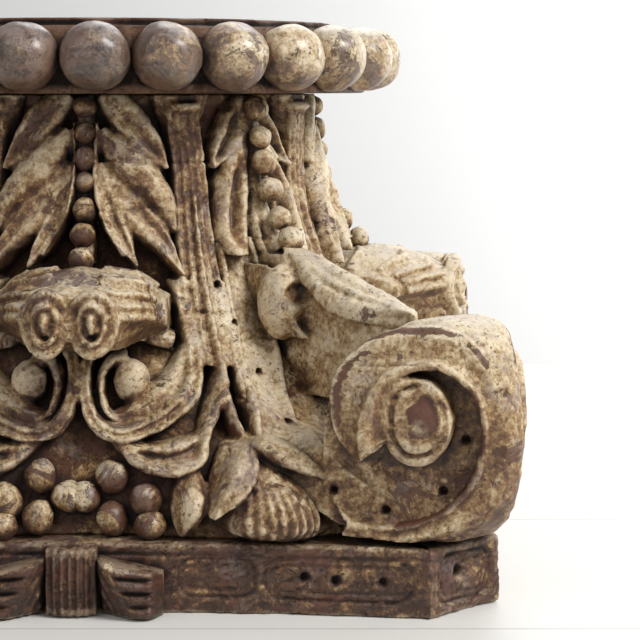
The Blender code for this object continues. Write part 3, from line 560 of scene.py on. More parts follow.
def scroll(scrolls):
    """The outer moulding, the one that stands above it inside, and the round eye with its drop."""
    shelf_out = [-2.0, -1.0, 0.0, 0.3, 0.8, 1.8, 2.6]
    shelf_in = [-2.0, -0.5, 1.2, 2.2, 3.0, 4.0, 4.6]
    ridge = [-1.0, 1.8, 4.6, 7.0, 9.4, 11.4, 12.0]
    ridge_in = [-3.0, 0.5, 4.0, 6.6, 8.6, 8.6, 8.0]

    def shelf(v, s):
        return through(shelf_in, s) * (1 - v) + through(shelf_out, s) * v - 0.9 * math.sin(math.pi * v)

    def raised(v, s):
        top = through(ridge, s) * ease(v, 0.0, 0.5) + through(ridge_in, s) * (1 - ease(v, 0.0, 0.5))
        groove = -1.3 * math.exp(-(((v - 0.16) / 0.07) ** 2)) * ease(s, 0.25, 0.45)
        drop = ease(v, 0.80, 1.0)
        return (top + groove) * (1 - drop) + (through(shelf_in, s) - 0.6) * drop

    winding(scrolls, MIDDLE_LINE, OUTER_LINE, shelf)
    winding(scrolls, INNER_LINE, MIDDLE_LINE, raised)
    angle = np.linspace(0, 2 * math.pi, 96, endpoint=False)
    rim = round_outline(EYE_OUTLINE, angle)
    rows = [on_scroll(angle, rim, SCROLL_BACK)]
    point = hump(np.angle(np.exp(1j * (angle - math.radians(78)))), 0.34)
    steps = [(1.0, 4.5), (0.985, 7.2), (0.96, 8.4), (0.91, 8.9), (0.86, 8.8), (0.82, 7.8), (0.79, 5.0),
             (0.77, 3.6), (0.75, 3.6), (0.735, 5.0), (0.72, 8.6), (0.69, 9.8), (0.64, 10.3), (0.59, 10.0),
             (0.54, 9.3), (0.48, 9.1), (0.38, 10.1), (0.26, 11.0), (0.14, 11.5), (0.05, 11.6)]
    for share, out in steps:
        drop = 0.20 * point * ease(share, 0.1, 0.5) * (1 - ease(share, 0.76, 0.9))
        rows.append(on_scroll(angle, rim * share * (1 + drop), out))
    scrolls.tube(np.stack(rows))


def dished(u, s):
    """A floor with its sides turned up."""
    return 0.2 + 0.8 * np.abs(u) ** 4 + 0 * s


def channel(scrolls):
    """The broad channel that leaves the bell under the leaves and swings down below the scroll."""
    s = np.linspace(0, 1, 64)
    centre = through([(86, -116, 204), (91, -120, 184), (96, -128, 163), (100, -138, 143), (104, -151, 126),
                      (110, -170, 112), (118, -195, 98), (131, -215, 84), (147, -223.5, 70.5),
                      (164, -227.5, 61), (184, -231, 57)], s)
    radial = unit(centre * np.array([1, 1, 0]))
    swing = ease(s, 0.5, 0.8)[:, None]
    outward = unit(radial * (1 - swing) + FACING * swing)
    side = unit(np.cross(unit(np.gradient(centre, axis=0)), outward))
    half = through([11, 14, 15.5, 15.5, 15, 15, 15.5, 16, 15, 13, 10], s)
    sink = 4.0 * ease(s, 0.86, 1.0)[:, None]
    free_strip(scrolls, centre - outward * sink, side, outward, half, 3.2, dished, across=17, root=-34.0)
    for toward, last in ((1, 0.93), (-1, 0.80)):
        tail = 1 - ease(s, last - 0.28, last)
        line = centre + toward * side * (half * 0.92)[:, None] - outward * (3.0 * (1 - tail))[:, None]
        keep = s < last + 0.02
        free_strip(scrolls, line[keep], side[keep], outward[keep], (1.0 + 1.8 * tail)[keep],
                   (5.4 * tail + 0.4)[keep], domed, across=9)


def ground():
    """The bell itself, round at the neck and squarer at the lip."""
    heights = np.concatenate([[BELL_FOOT], np.linspace(42, 290, 112), [BELL_TOP]])
    return weathered(*skin(np.stack([on_bell(np.arange(360), h, 0.0) for h in heights])))


def gathered(*makers):
    carving = Carving()
    for make in makers:
        make(carving)
    return carving.arrays()


# Meshes, and what wear does to them

def mesh_of(name, arrays):
    points, triangles = arrays
    mesh = bpy.data.meshes.new(name)
    mesh.from_pydata((points * MM).tolist(), [], triangles.tolist())
    return placed(name, mesh)


def arrays_of(mesh):
    mesh.calc_loop_triangles()
    points = np.empty(len(mesh.vertices) * 3, np.float32)
    triangles = np.empty(len(mesh.loop_triangles) * 3, np.int32)
    mesh.vertices.foreach_get("co", points)
    mesh.loop_triangles.foreach_get("vertices", triangles)
    return points.reshape(-1, 3).astype(float) / MM, triangles.reshape(-1, 3)


def with_modifiers(made):
    """The arrays of an object with its modifiers applied; the object itself is removed."""
    mesh = bpy.data.meshes.new_from_object(made.evaluated_get(bpy.context.evaluated_depsgraph_get()))
    arrays = arrays_of(mesh)
    bpy.data.meshes.remove(mesh)
    bpy.data.objects.remove(made)
    return arrays


def normals_of(points, triangles):
    a, b, c = (points[triangles[:, n]] for n in range(3))
    face = np.cross(b - a, c - a)
    total = [np.bincount(triangles.ravel(), np.repeat(face[:, k], 3), len(points)) for k in range(3)]
    return unit(np.stack(total, axis=-1))


def blurred(values, triangles, rounds):
    """Values evened out between neighbouring points."""
    here, there = triangles[:, [0, 1, 2, 1, 2, 0]].ravel(), triangles[:, [1, 2, 0, 0, 1, 2]].ravel()
    size = len(values)
    count = np.maximum(np.bincount(here, minlength=size), 1)[:, None]
    for _ in range(rounds):
        total = [np.bincount(here, column[there], size) for column in values.T]
        values = 0.4 * values + 0.6 * np.stack(total, axis=-1) / count
    return values


def run_together(name, arrays, most):
    """Shapes made one skin, as if cut from one block, softened, drilled, cracked and thinned."""
    rough = mesh_of(name, arrays)
    fuse = rough.modifiers.new("fuse", "REMESH")
    fuse.mode = "VOXEL"
    fuse.voxel_size = GRAIN * MM
    soften = rough.modifiers.new("soften", "SMOOTH")
    soften.factor = 0.5
    soften.iterations = 1
    dense = mesh_of(name, weathered(*with_modifiers(rough)))
    thin = dense.modifiers.new("thin", "DECIMATE")
    thin.ratio = min(1.0, most / len(dense.data.polygons))
    return with_modifiers(dense)


def weathered(points, triangles):
    """The carver's unevenness, the drilled holes and the cracks, put into a skin."""
    normals = normals_of(points, triangles)
    uneven = wander(points, 30.0, 3) * 0.45 + wander(points, 11.0, 4) * 0.28 + wander(points, 4.5, 5) * 0.14
    points = points + normals * uneven[:, None]
    points = drilled(points, normals)
    points = cracked(points, normals)
    points[:, 2] = np.clip(points[:, 2], BELL_FOOT, BELL_TOP)
    return points, triangles


def folded(points):
    """Every point brought into the first octant, as the carving repeats there."""
    azimuth = np.arctan2(points[:, 0], -points[:, 1]) % (math.pi / 2)
    azimuth = np.where(azimuth > math.pi / 4, math.pi / 2 - azimuth, azimuth)
    radius = np.hypot(points[:, 0], points[:, 1])
    return np.stack([radius * np.sin(azimuth), -radius * np.cos(azimuth), points[:, 2]], axis=-1)


def shut_in(points, normals, tree, reach=28.0, rays=18):
    """How shut in each point is, from 0 in the open to 1 in a crevice; the paint darkens by it as painted
    shade.
    """
    share = (np.arange(rays) + 0.5) / rays
    turn = np.arange(rays) * 2.399963
    local = np.stack([np.sqrt(share) * np.cos(turn), np.sqrt(share) * np.sin(turn), np.sqrt(1 - share)],
                     axis=-1)
    side = unit(np.cross(np.where(np.abs(normals[:, 2:]) < 0.9, [[0, 0, 1.0]], [[1.0, 0, 0]]), normals))
    other = np.cross(normals, side)
    found = np.zeros(len(points))
    starts = (points + normals * 0.7).tolist()
    for direction in local:
        turned = (side * direction[0] + other * direction[1] + normals * direction[2]).tolist()
        distances = [tree.ray_cast(start, way, reach)[3] for start, way in zip(starts, turned)]
        found += np.array([1.0 - d / reach if d is not None else 0.0 for d in distances])
    return found / rays


def uneven(arrays, amount):
    """Turned shapes no longer quite true."""
    points, triangles = arrays
    lumps = wander(points, 24.0, 71) + 0.5 * wander(points, 9.0, 72)
    return points + normals_of(points, triangles) * (lumps * amount)[:, None], triangles


def by_line(angle, radius, line, past, first, last):
    """How near points lie to one of the scroll's lines, between two of its turns."""
    near = np.zeros(len(radius))
    for turn in (0.0, 2 * math.pi):
        wound = angle + turn
        aim = through(line, (wound - WIND[0]) / (WIND[-1] - WIND[0])) + past
        inside = (wound > math.radians(first)) & (wound < math.radians(last))
        near = np.maximum(near, inside * hump(radius - aim, 1.4))
    return near


def near_holes(points):
    """1 beside a drilled hole, falling to 0 a little way off."""
    near = np.zeros(len(points))
    for place, way, radius, _ in holes()[:-1]:
        offset = points - place
        along = offset @ way
        aside = np.linalg.norm(offset - along[:, None] * way, axis=1)
        near = np.maximum(near, (1 - ease(aside, radius * 1.2, radius * 2.2)) * (np.abs(along) < 14))
    return near


def shadow_under_scroll(points):
    """The floor close under the scroll's mouldings and its eye, darkened there as a painted shadow."""
    offset = points - SCROLL_EYE
    across = offset @ ALONG
    radius = np.hypot(across, offset[:, 2])
    angle = np.degrees(np.arctan2(offset[:, 2], across)) % 360
    edge = np.interp(angle, [180, 205, 214, 225, 240, 270, 300, 335], [56, 49, 43, 33, 28, 27, 23, 18])
    floor = (1 - ease(offset @ FACING, -6.0, -2.0)) * ease(angle, 185, 205) * (1 - ease(angle, 305, 335))
    return floor * (1 - ease(radius - edge, 1.0, 10.0)) * (radius > edge - 3)


def bare_places(points):
    """Where the paint is rubbed off down to red and brown wood: the eye's middle and the scroll's creases."""
    offset = points - SCROLL_EYE
    across, out = offset @ ALONG, offset @ FACING
    radius = np.hypot(across, offset[:, 2])
    angle = np.arctan2(offset[:, 2], across) % (2 * math.pi)
    front = ease(out, -12.0, -6.0)
    off_middle = np.hypot(across - 2.0, offset[:, 2] - 3.0) + 2.6 * wander(points, 8.0, 81)
    bare = (1 - ease(off_middle, 8.5, 11.0)) * ease(out, 7.0, 8.5)
    bare = np.maximum(bare, by_line(angle, radius, OUTER_LINE, 2.2, 400, 560) * front * 0.9)
    bare = np.maximum(bare, by_line(angle, radius, INNER_LINE, 0.6, 255, 440) * front)
    bare = np.maximum(bare, 0.7 * by_line(angle, radius, OUTER_LINE, -4.0, 490, 560) * front)
    return bare * ease(wander(points, 15.0, 82), -0.9, 0.1)


# The masks: hollow gives painted shade in crevices and under overhangs, ridge gives rubbed edges and painted
# edge highlight, bare gives rubbed-off paint, and how far a point faces up gives painted light on top faces
# and painted shade underneath.
MASKS = ("hollow", "ridge", "bare", "upward")


def worn_mesh(name, arrays, tree, repeats=True):
    """The finished mesh, with the masks the paint goes by as its attributes, painted shade and painted light
    among them.
    """
    points, triangles = arrays
    normals = normals_of(points, triangles)
    if repeats:
        azimuth = np.degrees(np.arctan2(points[:, 0], -points[:, 1]))
        chosen = (azimuth >= -0.5) & (azimuth <= 45.5)
        known = shut_in(points[chosen], normals[chosen], tree)
        finder = KDTree(int(chosen.sum()))
        for i, point in enumerate(folded(points[chosen]).tolist()):
            finder.insert(point, i)
        finder.balance()
        hollow = known[[finder.find(point)[1] for point in folded(points).tolist()]]
    else:
        hollow = shut_in(points, normals, tree)
    stands_out = ((points - blurred(points, triangles, 4)) * normals).sum(axis=1)
    octant = folded(points)
    # Painted shadow close under the scroll's mouldings and eye, put into the hollow mask.
    hollow = np.maximum(hollow, 0.62 * shadow_under_scroll(octant))
    stands_out = np.minimum(stands_out, 1.5 - 2.1 * near_holes(octant))
    masks = blurred(np.stack([hollow, stands_out], axis=-1), triangles, 1)
    made = mesh_of(name, arrays)
    made.data.shade_smooth()
    # The last mask is how far each point faces up; the paint makes top faces lighter and undersides darker
    # with it, as painted light and shade.
    for mask, values in zip(MASKS, (masks[:, 0], masks[:, 1], bare_places(octant), normals[:, 2])):
        layer = made.data.attributes.new(mask, "FLOAT", "POINT")
        layer.data.foreach_set("value", values.astype(np.float32))
    return made


def holes():
    """Where the volutes and their channels are drilled, which way, how wide and how deep."""
    places = [(on_scroll(np.array(angle), np.array(radius), np.array(-8.0)), FACING, 2.3, 7.0)
              for angle, radius in ((3.84, 69.9), (4.31, 60.0), (4.92, 44.0), (5.72, 25.4), (4.42, 24.0))]
    for azimuth, height, out in ((29.6, 178, 4), (31.3, 156, 4), (34.6, 127, 5), (34.5, 101, 14)):
        point = on_bell(azimuth, height, out)
        places.append((point, unit(point * np.array([1, 1, 0])), 2.0, 7.0))
    places.append((np.array([127.0, -147.0, 173.0]), unit(np.array([0.75, -1.0, 0.1])), 7.0, 4.0))
    return places


def drilled(points, normals):
    rng = np.random.default_rng(12)
    moved = points.copy()
    for place, way, radius, deep in holes():
        for quarter in range(4):
            for flip in (1, -1):
                centre, axis = (np.append(v[:2] * np.array([flip, 1.0]), v[2]) for v in (place, way))
                for _ in range(quarter):
                    centre, axis = (np.array([-v[1], v[0], v[2]]) for v in (centre, axis))
                centre = centre + rng.normal(0, 1.3, 3) * (0 if quarter == 0 and flip == 1 else 1)
                offset = points - centre
                along = offset @ axis
                aside = np.linalg.norm(offset - along[:, None] * axis, axis=1)
                near = (aside < radius * 1.25) & (np.abs(along) < 13) & (normals @ axis > 0.1)
                moved[near] -= axis * (deep * (1 - ease(aside[near], radius * 0.55, radius * 1.25)))[:, None]
    return moved


def cracked(points, normals):
    """Shrinkage cracks and the opened joint between two boards, as fine grooves."""
    radius = np.hypot(points[:, 0], points[:, 1])
    azimuth = np.degrees(np.arctan2(points[:, 0], -points[:, 1]))
    bend = wander(points, 60.0, 31) * 3.2 + wander(points, 9.0, 32) * 0.8
    depth = np.zeros(len(points))
    cracks = [(252.5, -8, 17, 1.3), (251, 21, 33, 1.2), (161, 20, 33, 1.2), (146, 33, 41, 1.2),
              (118, 26, 33, 1.2), (222, 2, 18, 1.0), (206, 40, 60, 1.2), (252.5, 120, 200, 1.8),
              (170, 200, 232, 1.2), (235, 255, 300, 1.4), (92, 60, 75, 1.2), (130, -80, -60, 1.2),
              (78, 150, 168, 1.4)]
    for height, start, end, deep in cracks:
        span = ((azimuth - start) % 360) / ((end - start) % 360)
        inside = (span > 0) & (span < 1) & (radius > 100)
        groove = hump(points[:, 2] - height - bend, 0.6) * np.sin(math.pi * np.clip(span, 0, 1)) ** 0.4
        depth = np.maximum(depth, np.where(inside, deep * groove, 0.0))
    splits = hump(wander(points, 90.0, 41), 0.012) * (wander(points, 70.0, 42) > 0.45)
    return points - normals * (np.maximum(depth, 0.7 * splits))[:, None]


# The abacus

def slab_side():
    """The slab's outline as points with their outward ways, and how far along which kind of side each is."""
    places, ways, along, kind = [], [], [], []
    for side in range(4):
        turn = math.radians(90 * side)
        c, s = math.cos(turn), math.sin(turn)
        for x in np.linspace(-CORNER_HALF, CORNER_HALF, 252):
            y = -(ABACUS_HALF - SIDE_HOLLOW * (1 - (x / CORNER_HALF) ** 2))
            lean = -2 * SIDE_HOLLOW * x / CORNER_HALF**2
            way = unit(np.array([-lean, -1.0]))
            places.append((x * c - y * s, x * s + y * c))
            ways.append((way[0] * c - way[1] * s, way[0] * s + way[1] * c))
            along.append(x)
            kind.append(0)
        half = (ABACUS_HALF - CORNER_HALF) / 2
        for t in np.linspace(-1, 1, 42)[1:-1]:
            x, y = CORNER_HALF + half * (1 + t), -ABACUS_HALF + half * (1 + t)
            way = np.array([1.0, -1.0]) / math.sqrt(2)
            places.append((x * c - y * s, x * s + y * c))
            ways.append((way[0] * c - way[1] * s, way[0] * s + way[1] * c))
            along.append(t * half * math.sqrt(2))
            kind.append(1)
    return np.array(places), np.array(ways), np.array(along), np.array(kind)


def panel_depth(x, z, middle, half_length, half_height, corner):
    """An incised border round a slightly dished panel with rounded ends."""
    past_end = np.maximum(np.abs(x - middle) - (half_length - corner), 0)
    past_side = np.maximum(np.abs(z - PANEL_MIDDLE) - (half_height - corner), 0)
    edge = np.hypot(past_end, past_side) - corner
    border = 3.4 * hump(edge, 1.2)
    inner_line = 0.8 * hump(edge + 4.2, 0.9)
    return border + inner_line + 2.4 * (1 - ease(edge, -3.0, 0.0))


def dot_depth(x, z, middle, height, wide, deep):
    away = np.hypot(x - middle, z - height)
    return 1.8 * (1 - ease(away, wide * 0.5, wide)) + deep * (1 - ease(away, wide * 0.30, wide * 0.52))


def abacus_slab():
    places, ways, along, kind = slab_side()
    low, high = np.array([0.0, 0.0, 0.5, 1.4, 2.6]), ABACUS_THICK - np.array([2.6, 1.4, 0.5, 0.0, 0.0])
    heights = np.concatenate([low, np.linspace(4.0, ABACUS_THICK - 4.0, 29), high])
    rounded = np.concatenate([[9.0, 2.0, 0.9, 0.3, 0.0], np.zeros(29), [0.0, 0.3, 0.9, 2.2, 9.0]])
    rings = []
    for z, inset in zip(heights, rounded):
        x = np.abs(along)
        front = panel_depth(x, z, 151.0, 42.0, 11.7, 10.5) + panel_depth(x, z, 82.0, 22.0, 11.0, 9.0)
        for middle, height in ((132.0, 21.5), (149.5, 20.0), (176.5, 20.0)):
            front = np.maximum(front, 1.2 + dot_depth(x, z, middle, height, 5.6, 4.5) * (x < 190))
        corner = panel_depth(along, z, 0.0, 22.5, 13.5, 9.0) + dot_depth(along, z, -3.0, 23.5, 6.0, 6.0)
        joint = 1.3 * math.exp(-(((z - 33.6) / 0.7) ** 2))
        depth = np.where(kind == 0, front + joint, corner)
        ring = np.column_stack([places - ways * (depth + inset)[:, None], np.full(len(places), z)])
        rings.append(ring)
    rings = np.stack(rings)
    flat = rings.reshape(-1, 3)
    curls = np.abs(wander(flat * np.array([1, 1, 2.2]), 17.0, 51)) ** 0.6 * 1.5
    curls = curls + wander(flat, 45.0, 52) * 0.8
    near_edge = np.exp(-np.minimum(flat[:, 2], ABACUS_THICK - flat[:, 2]) / 2.2)
    chips = np.maximum(wander(flat, 15.0, 53) - 0.35, 0) * 2.6 * near_edge
    middle = np.tile(ways, (len(heights), 1))
    inward = (curls + chips)[:, None] * np.column_stack([middle, np.zeros(len(flat))])
    inside = np.repeat(rounded > 8, len(places))
    rings = np.where(inside[:, None], flat, flat - inward).reshape(rings.shape)
    return skin(rings)


def flower(flowers):
    """Half of the flower at the middle of a side: three fingers that start from a slanting edge."""
    rows = []
    for x in np.concatenate([[15.0, 15.6, 16.4], np.linspace(17.5, 48, 38), [49.6, 51.0, 51.6]]):
        t = (x - 16) / 40
        top = 33.0 - 8.5 * t
        row = []
        for z in np.linspace(1.0, top, 46):
            start = 18.0 + 17.0 * (1 - z / 34)
            ends = float(ease(x, start - 1, start + 7) * (1 - ease(x, 43, 52)))
            cut = sum(deep * math.exp(-(((z - at - lean * (x - 35)) / 0.8) ** 2))
                      for at, deep, lean in ((23.6, 2.2, -0.13), (15.8, 2.4, -0.05), (8.2, 1.2, 0.03)))
            belly = 2.8 * abs(math.sin(math.pi * (z - 0.2 + 0.05 * (x - 35)) / 7.9)) * ends
            behind = 1.0 * max(0.0, start - x) + 5.0 * (1 - float(ease(x, 15, 18)))
            ribs = 0.8 * math.cos(2 * math.pi * (start - x) / 4.2) * float(ease(start - x, 0.5, 4))
            round_off = 2.2 * (math.exp(-(z - 1) / 1.3) + math.exp(-(top - z) / 1.3))
            round_off += 11.0 * float(ease(x, 43, 53)) ** 1.6
            row.append((x, -(247.0 - 2.5 * t) + cut * ends - belly + behind + ribs + round_off, z))
        row += [(x, -222.0, top), (x, -222.0, 1.0)]
        rows.append(row)
    flowers.tube(np.array(rows))
    stem = []
    for x in np.linspace(0, 14, 28):
        z = np.linspace(1.5, 38.5, 20)
        ribs = 0.9 * math.cos(2 * math.pi * x / 4.6)
        front = 239.5 - 5.0 * (x / 14) ** 3 + ribs + 2.0 * np.sin(math.pi * z / ABACUS_THICK) ** 2
        face = np.column_stack([np.full(20, x), -front, z])
        stem.append(np.vstack([face, [(x, -220.0, 38.5), (x, -220.0, 1.5)]]))
    flowers.tube(np.array(stem))


# Node trees

class Recipe:
    """Nodes laid into one tree, each fed by values or by other nodes' outputs."""

    def __init__(self, tree):
        self.tree = tree

    def add(self, kind, inputs=(), output=0, **settings):
        node = self.tree.nodes.new(kind)
        for key, value in settings.items():
            setattr(node, key, value)
        for key, value in dict(inputs).items():
            socket = node.inputs[key]
            if isinstance(value, bpy.types.NodeSocket):
                self.tree.links.new(value, socket)
            else:
                socket.default_value = value
        return node.outputs[output]

    def sum(self, *terms):
        """The terms added up, each a socket or a (socket, share) pair or a number."""
        total = 0.0
        for term in terms:
            if isinstance(term, tuple):
                total = self.add("ShaderNodeMath", {0: term[0], 1: term[1], 2: total},
                                 operation="MULTIPLY_ADD")
            else:
                total = self.add("ShaderNodeMath", {0: term, 1: total}, operation="ADD")
        return total

    def times(self, a, b):
        return self.add("ShaderNodeMath", {0: a, 1: b}, operation="MULTIPLY")

    def step(self, value, low, high, first=0.0, last=1.0):
        """A value taken smoothly from first at low to last at high."""
        inputs = {"Value": value, "From Min": low, "From Max": high, "To Min": first, "To Max": last}
        return self.add("ShaderNodeMapRange", inputs, interpolation_type="SMOOTHSTEP")

    def blend(self, share, a, b):
        return self.add("ShaderNodeMix", {0: share, 6: a, 7: b}, output=2, data_type="RGBA")

    def ramp(self, value, stops):
        """A colour picked by a value from a row of colours."""
        made = self.add("ShaderNodeValToRGB", {"Fac": value})
        row = made.node.color_ramp.elements
        row[0].position, row[0].color = stops[0]
        row[1].position, row[1].color = stops[-1]
        for at, colour in stops[1:-1]:
            row.new(at).color = colour
        return made

    def cloud(self, place, scale, detail=6.0, rough=0.6, twist=0.0):
        inputs = {"Vector": place, "Scale": scale, "Detail": detail, "Roughness": rough, "Distortion": twist}
        return self.add("ShaderNodeTexNoise", inputs)

    def stretched(self, place, scale):
        return self.add("ShaderNodeMapping", {"Vector": place, "Scale": scale})


def node_group(kind_of_tree, name, inputs, outputs):
    """A tree with its sockets, each a name, a kind and perhaps a value to start from."""
    tree = bpy.data.node_groups.new(name, kind_of_tree + "NodeTree")
    for in_out, sockets in (("INPUT", inputs), ("OUTPUT", outputs)):
        for socket, kind, *value in sockets:
            made = tree.interface.new_socket(socket, in_out=in_out, socket_type="NodeSocket" + kind)
            if value:
                made.default_value = value[0]
    recipe = Recipe(tree)
    given = tree.nodes.new("NodeGroupInput").outputs
    out = tree.nodes.new("NodeGroupOutput").inputs
    return recipe, given, out


# Beads, berries and grapes

def random_vector(r, low, high, seed):
    return r.add("FunctionNodeRandomValue", {"Min": low, "Max": high, "Seed": seed},
                 data_type="FLOAT_VECTOR")


def painted(r, shapes, given, out):
    """The end of a tree: its instances made into one mesh and given their paint."""
    shapes = r.add("GeometryNodeRealizeInstances", {"Geometry": shapes})
    shapes = r.add("GeometryNodeSetMaterial", {"Geometry": shapes, "Material": given["Material"]})
    r.tree.links.new(shapes, out["Geometry"])
    return r.tree


def bead_tree():
    """Beads set side by side on a circle, each turned and sized a little differently."""
    inputs = [("Geometry", "Geometry"), ("Count", "Int"), ("Ring Radius", "Float"), ("Bead Radius", "Float"),
              ("Height", "Float"), ("First Turn", "Float"), ("Seed", "Int"), ("Material", "Material")]
    r, given, out = node_group("Geometry", "beads_on_a_circle", inputs, [("Geometry", "Geometry")])
    circle = r.add("GeometryNodeMeshCircle", {"Vertices": given["Count"], "Radius": given["Ring Radius"]})
    bead = r.add("GeometryNodeMeshUVSphere", {"Segments": 32, "Rings": 24, "Radius": given["Bead Radius"]})
    spin = random_vector(r, (-0.12, -0.12, -3.14), (0.12, 0.12, 3.14), given["Seed"])
    size = random_vector(r, (0.99, 0.99, 0.955), (1.03, 1.03, 0.985), given["Seed"])
    inputs = {"Points": circle, "Instance": bead, "Rotation": spin, "Scale": size}
    beads = r.add("GeometryNodeInstanceOnPoints", inputs)
    lift = r.add("ShaderNodeCombineXYZ", {"Z": given["Height"]})
    turn = r.add("ShaderNodeCombineXYZ", {"Z": given["First Turn"]})
    beads = r.add("GeometryNodeTransform", {"Geometry": beads, "Translation": lift, "Rotation": turn})
    return painted(r, beads, given, out)


def berry_tree():
    """A berry on every point given."""
    inputs = [("Geometry", "Geometry"), ("Berry Radius", "Float"), ("Seed", "Int"), ("Material", "Material")]
    r, given, out = node_group("Geometry", "berries_on_points", inputs, [("Geometry", "Geometry")])
    berry = r.add("GeometryNodeMeshIcoSphere", {"Subdivisions": 4, "Radius": given["Berry Radius"]})
    size = random_vector(r, (0.93, 0.93, 0.93), (1.08, 1.08, 1.12), given["Seed"])
    inputs = {"Points": given["Geometry"], "Instance": berry, "Scale": size}
    return painted(r, r.add("GeometryNodeInstanceOnPoints", inputs), given, out)


def grown(name, points, tree, **values):
    """What a tree makes of some points, as plain arrays."""
    mesh = bpy.data.meshes.new(name)
    mesh.from_pydata([tuple(p) for p in np.asarray(points) * MM], [], [])
    seeds = placed(name, mesh)
    grow = seeds.modifiers.new("grow", "NODES")
    grow.node_group = tree
    for item in tree.interface.items_tree:
        key = item.name.replace(" ", "_").lower()
        if item.in_out == "INPUT" and key in values:
            grow[item.identifier] = values[key]
    return with_modifiers(seeds)


def turned_points(points, mirrored=True):
    points = np.asarray(points, float)
    whole, _ = all_round((points, np.zeros((0, 3), int)), mirrored)
    return whole


def berry_points():
    """The berries down each leaf's middle."""
    down_face = [(284, 9), (269, 10), (254, 11.5), (239, 13.5), (224, 17), (209, 22), (195, 29)]
    found = [on_bell(0.0, z, out) for z, out in down_face]
    diagonal = np.array([1, -1, 0]) / math.sqrt(2)
    for reach, height in ((143, 283), (146, 266), (149.5, 250), (155, 233.5), (163, 217.5), (173.5, 204)):
        found.append(diagonal * reach + np.array([0, 0, height]))
    return turned_points(found, mirrored=False)


def grape_points():
    bunch = [(5.9, 74, 4), (10.9, 61, 4.5), (5.8, 51, 5), (11.4, 47, 6), (1.2, 62, 3)]
    return turned_points([on_bell(azimuth, z, out) for azimuth, z, out in bunch])


def necking_board():
    """The turned board behind the beads, with the low worn boss inside them."""
    low, high = BELL_TOP + 0.7, BOSS_TOP
    inside = [(5, low), (3.6, low + 0.8), (3.4, low + 3), (4, low + 6), (4.5, BEAD_MIDDLE),
              (5, BEAD_MIDDLE + 12), (8, BEAD_MIDDLE + 17.5)]
    past_boss = [(1, high - 4.5), (0.3, high - 3.0), (0, high - 1.2), (-1.0, high - 0.2), (-6, high),
                 (-8, high), (-10, high), (-12, high), (-15, high)]
    profile = [(30, low)] + [(BEAD_RING_RADIUS - less, z) for less, z in inside]
    profile += [(BOSS_RADIUS + more, z) for more, z in past_boss] + [(110, high), (70, high), (30, high)]
    turns = np.linspace(0, 2 * math.pi, 420, endpoint=False)
    rings = []
    for radius, z in profile:
        ring = np.stack([radius * np.sin(turns), -radius * np.cos(turns), np.full_like(turns, z)], axis=-1)
        worn = np.maximum(wander(ring, 26.0, 61), 0) * 1.6 + np.maximum(wander(ring, 9.0, 62) - 0.3, 0) * 1.6
        edge = math.exp(-abs(radius - BOSS_RADIUS) / 3.0) * float(ease(z, high - 5, high - 1))
        ring[:, 2] -= worn * edge
        ring[:, :2] *= (1 - worn * edge * 0.6 / radius)[:, None]
        rings.append(ring)
    return skin(np.stack(rings))


# Paint, wood and dirt

def rgb(red, green, blue):
    """A colour read off as 0 to 255, as the shader wants it."""
    shares = [v / 255 for v in (red, green, blue)]
    linear = [((v + 0.055) / 1.055) ** 2.4 if v > 10 / 255 else v / 12.92 for v in shares]
    return (*linear, 1.0)


CREAM = rgb(214, 194, 163)
BOLE = rgb(88, 50, 37)
DARK_WOOD = rgb(58, 38, 28)
BROWN_WOOD = rgb(104, 70, 50)
# The greyish colour of old waxy bloom and of painted sheen.
WAX_AND_SHEEN_GREY = rgb(160, 148, 145)
# Near-black brown for pores, pits, grime and painted shade.
GRIME_AND_SHADE = rgb(24, 16, 11)
PAINT_ROW = [(0.05, DARK_WOOD), (0.28, rgb(84, 58, 41)), (0.44, rgb(126, 92, 58)),
             (0.60, rgb(168, 141, 101)), (0.78, rgb(208, 189, 156)), (0.96, rgb(224, 210, 184))]


def old_wood_group():
    """Dry brown wood with long fibres, pores and a little red in it."""
    inputs = [("Place", "Vector"), ("Fibre", "Vector", (60.0, 60.0, 9.0)), ("Redness", "Float", 0.5)]
    r, given, out = node_group("Shader", "old_wood", inputs, [("Color", "Color"), ("Height", "Float")])
    fibre = r.stretched(given["Place"], given["Fibre"])
    strands = r.cloud(fibre, 3.0, 5.0, 0.62, 0.4)
    fine = r.cloud(fibre, 11.0, 3.0, 0.6)
    patch = r.cloud(given["Place"], 26.0, 4.0, 0.55)
    base = r.blend(r.step(r.sum((strands, 0.6), (patch, 0.5)), 0.42, 0.72), DARK_WOOD, BROWN_WOOD)
    red = r.times(r.step(r.cloud(given["Place"], 34.0, 5.0, 0.6, 0.6), 0.46, 0.62), given["Redness"])
    base = r.blend(red, base, BOLE)
    pores = r.step(fine, 0.30, 0.40, 0.75, 0.0)
    r.tree.links.new(r.blend(pores, base, GRIME_AND_SHADE), out["Color"])
    r.tree.links.new(r.sum((strands, 0.6), (fine, 0.4)), out["Height"])
    return r.tree


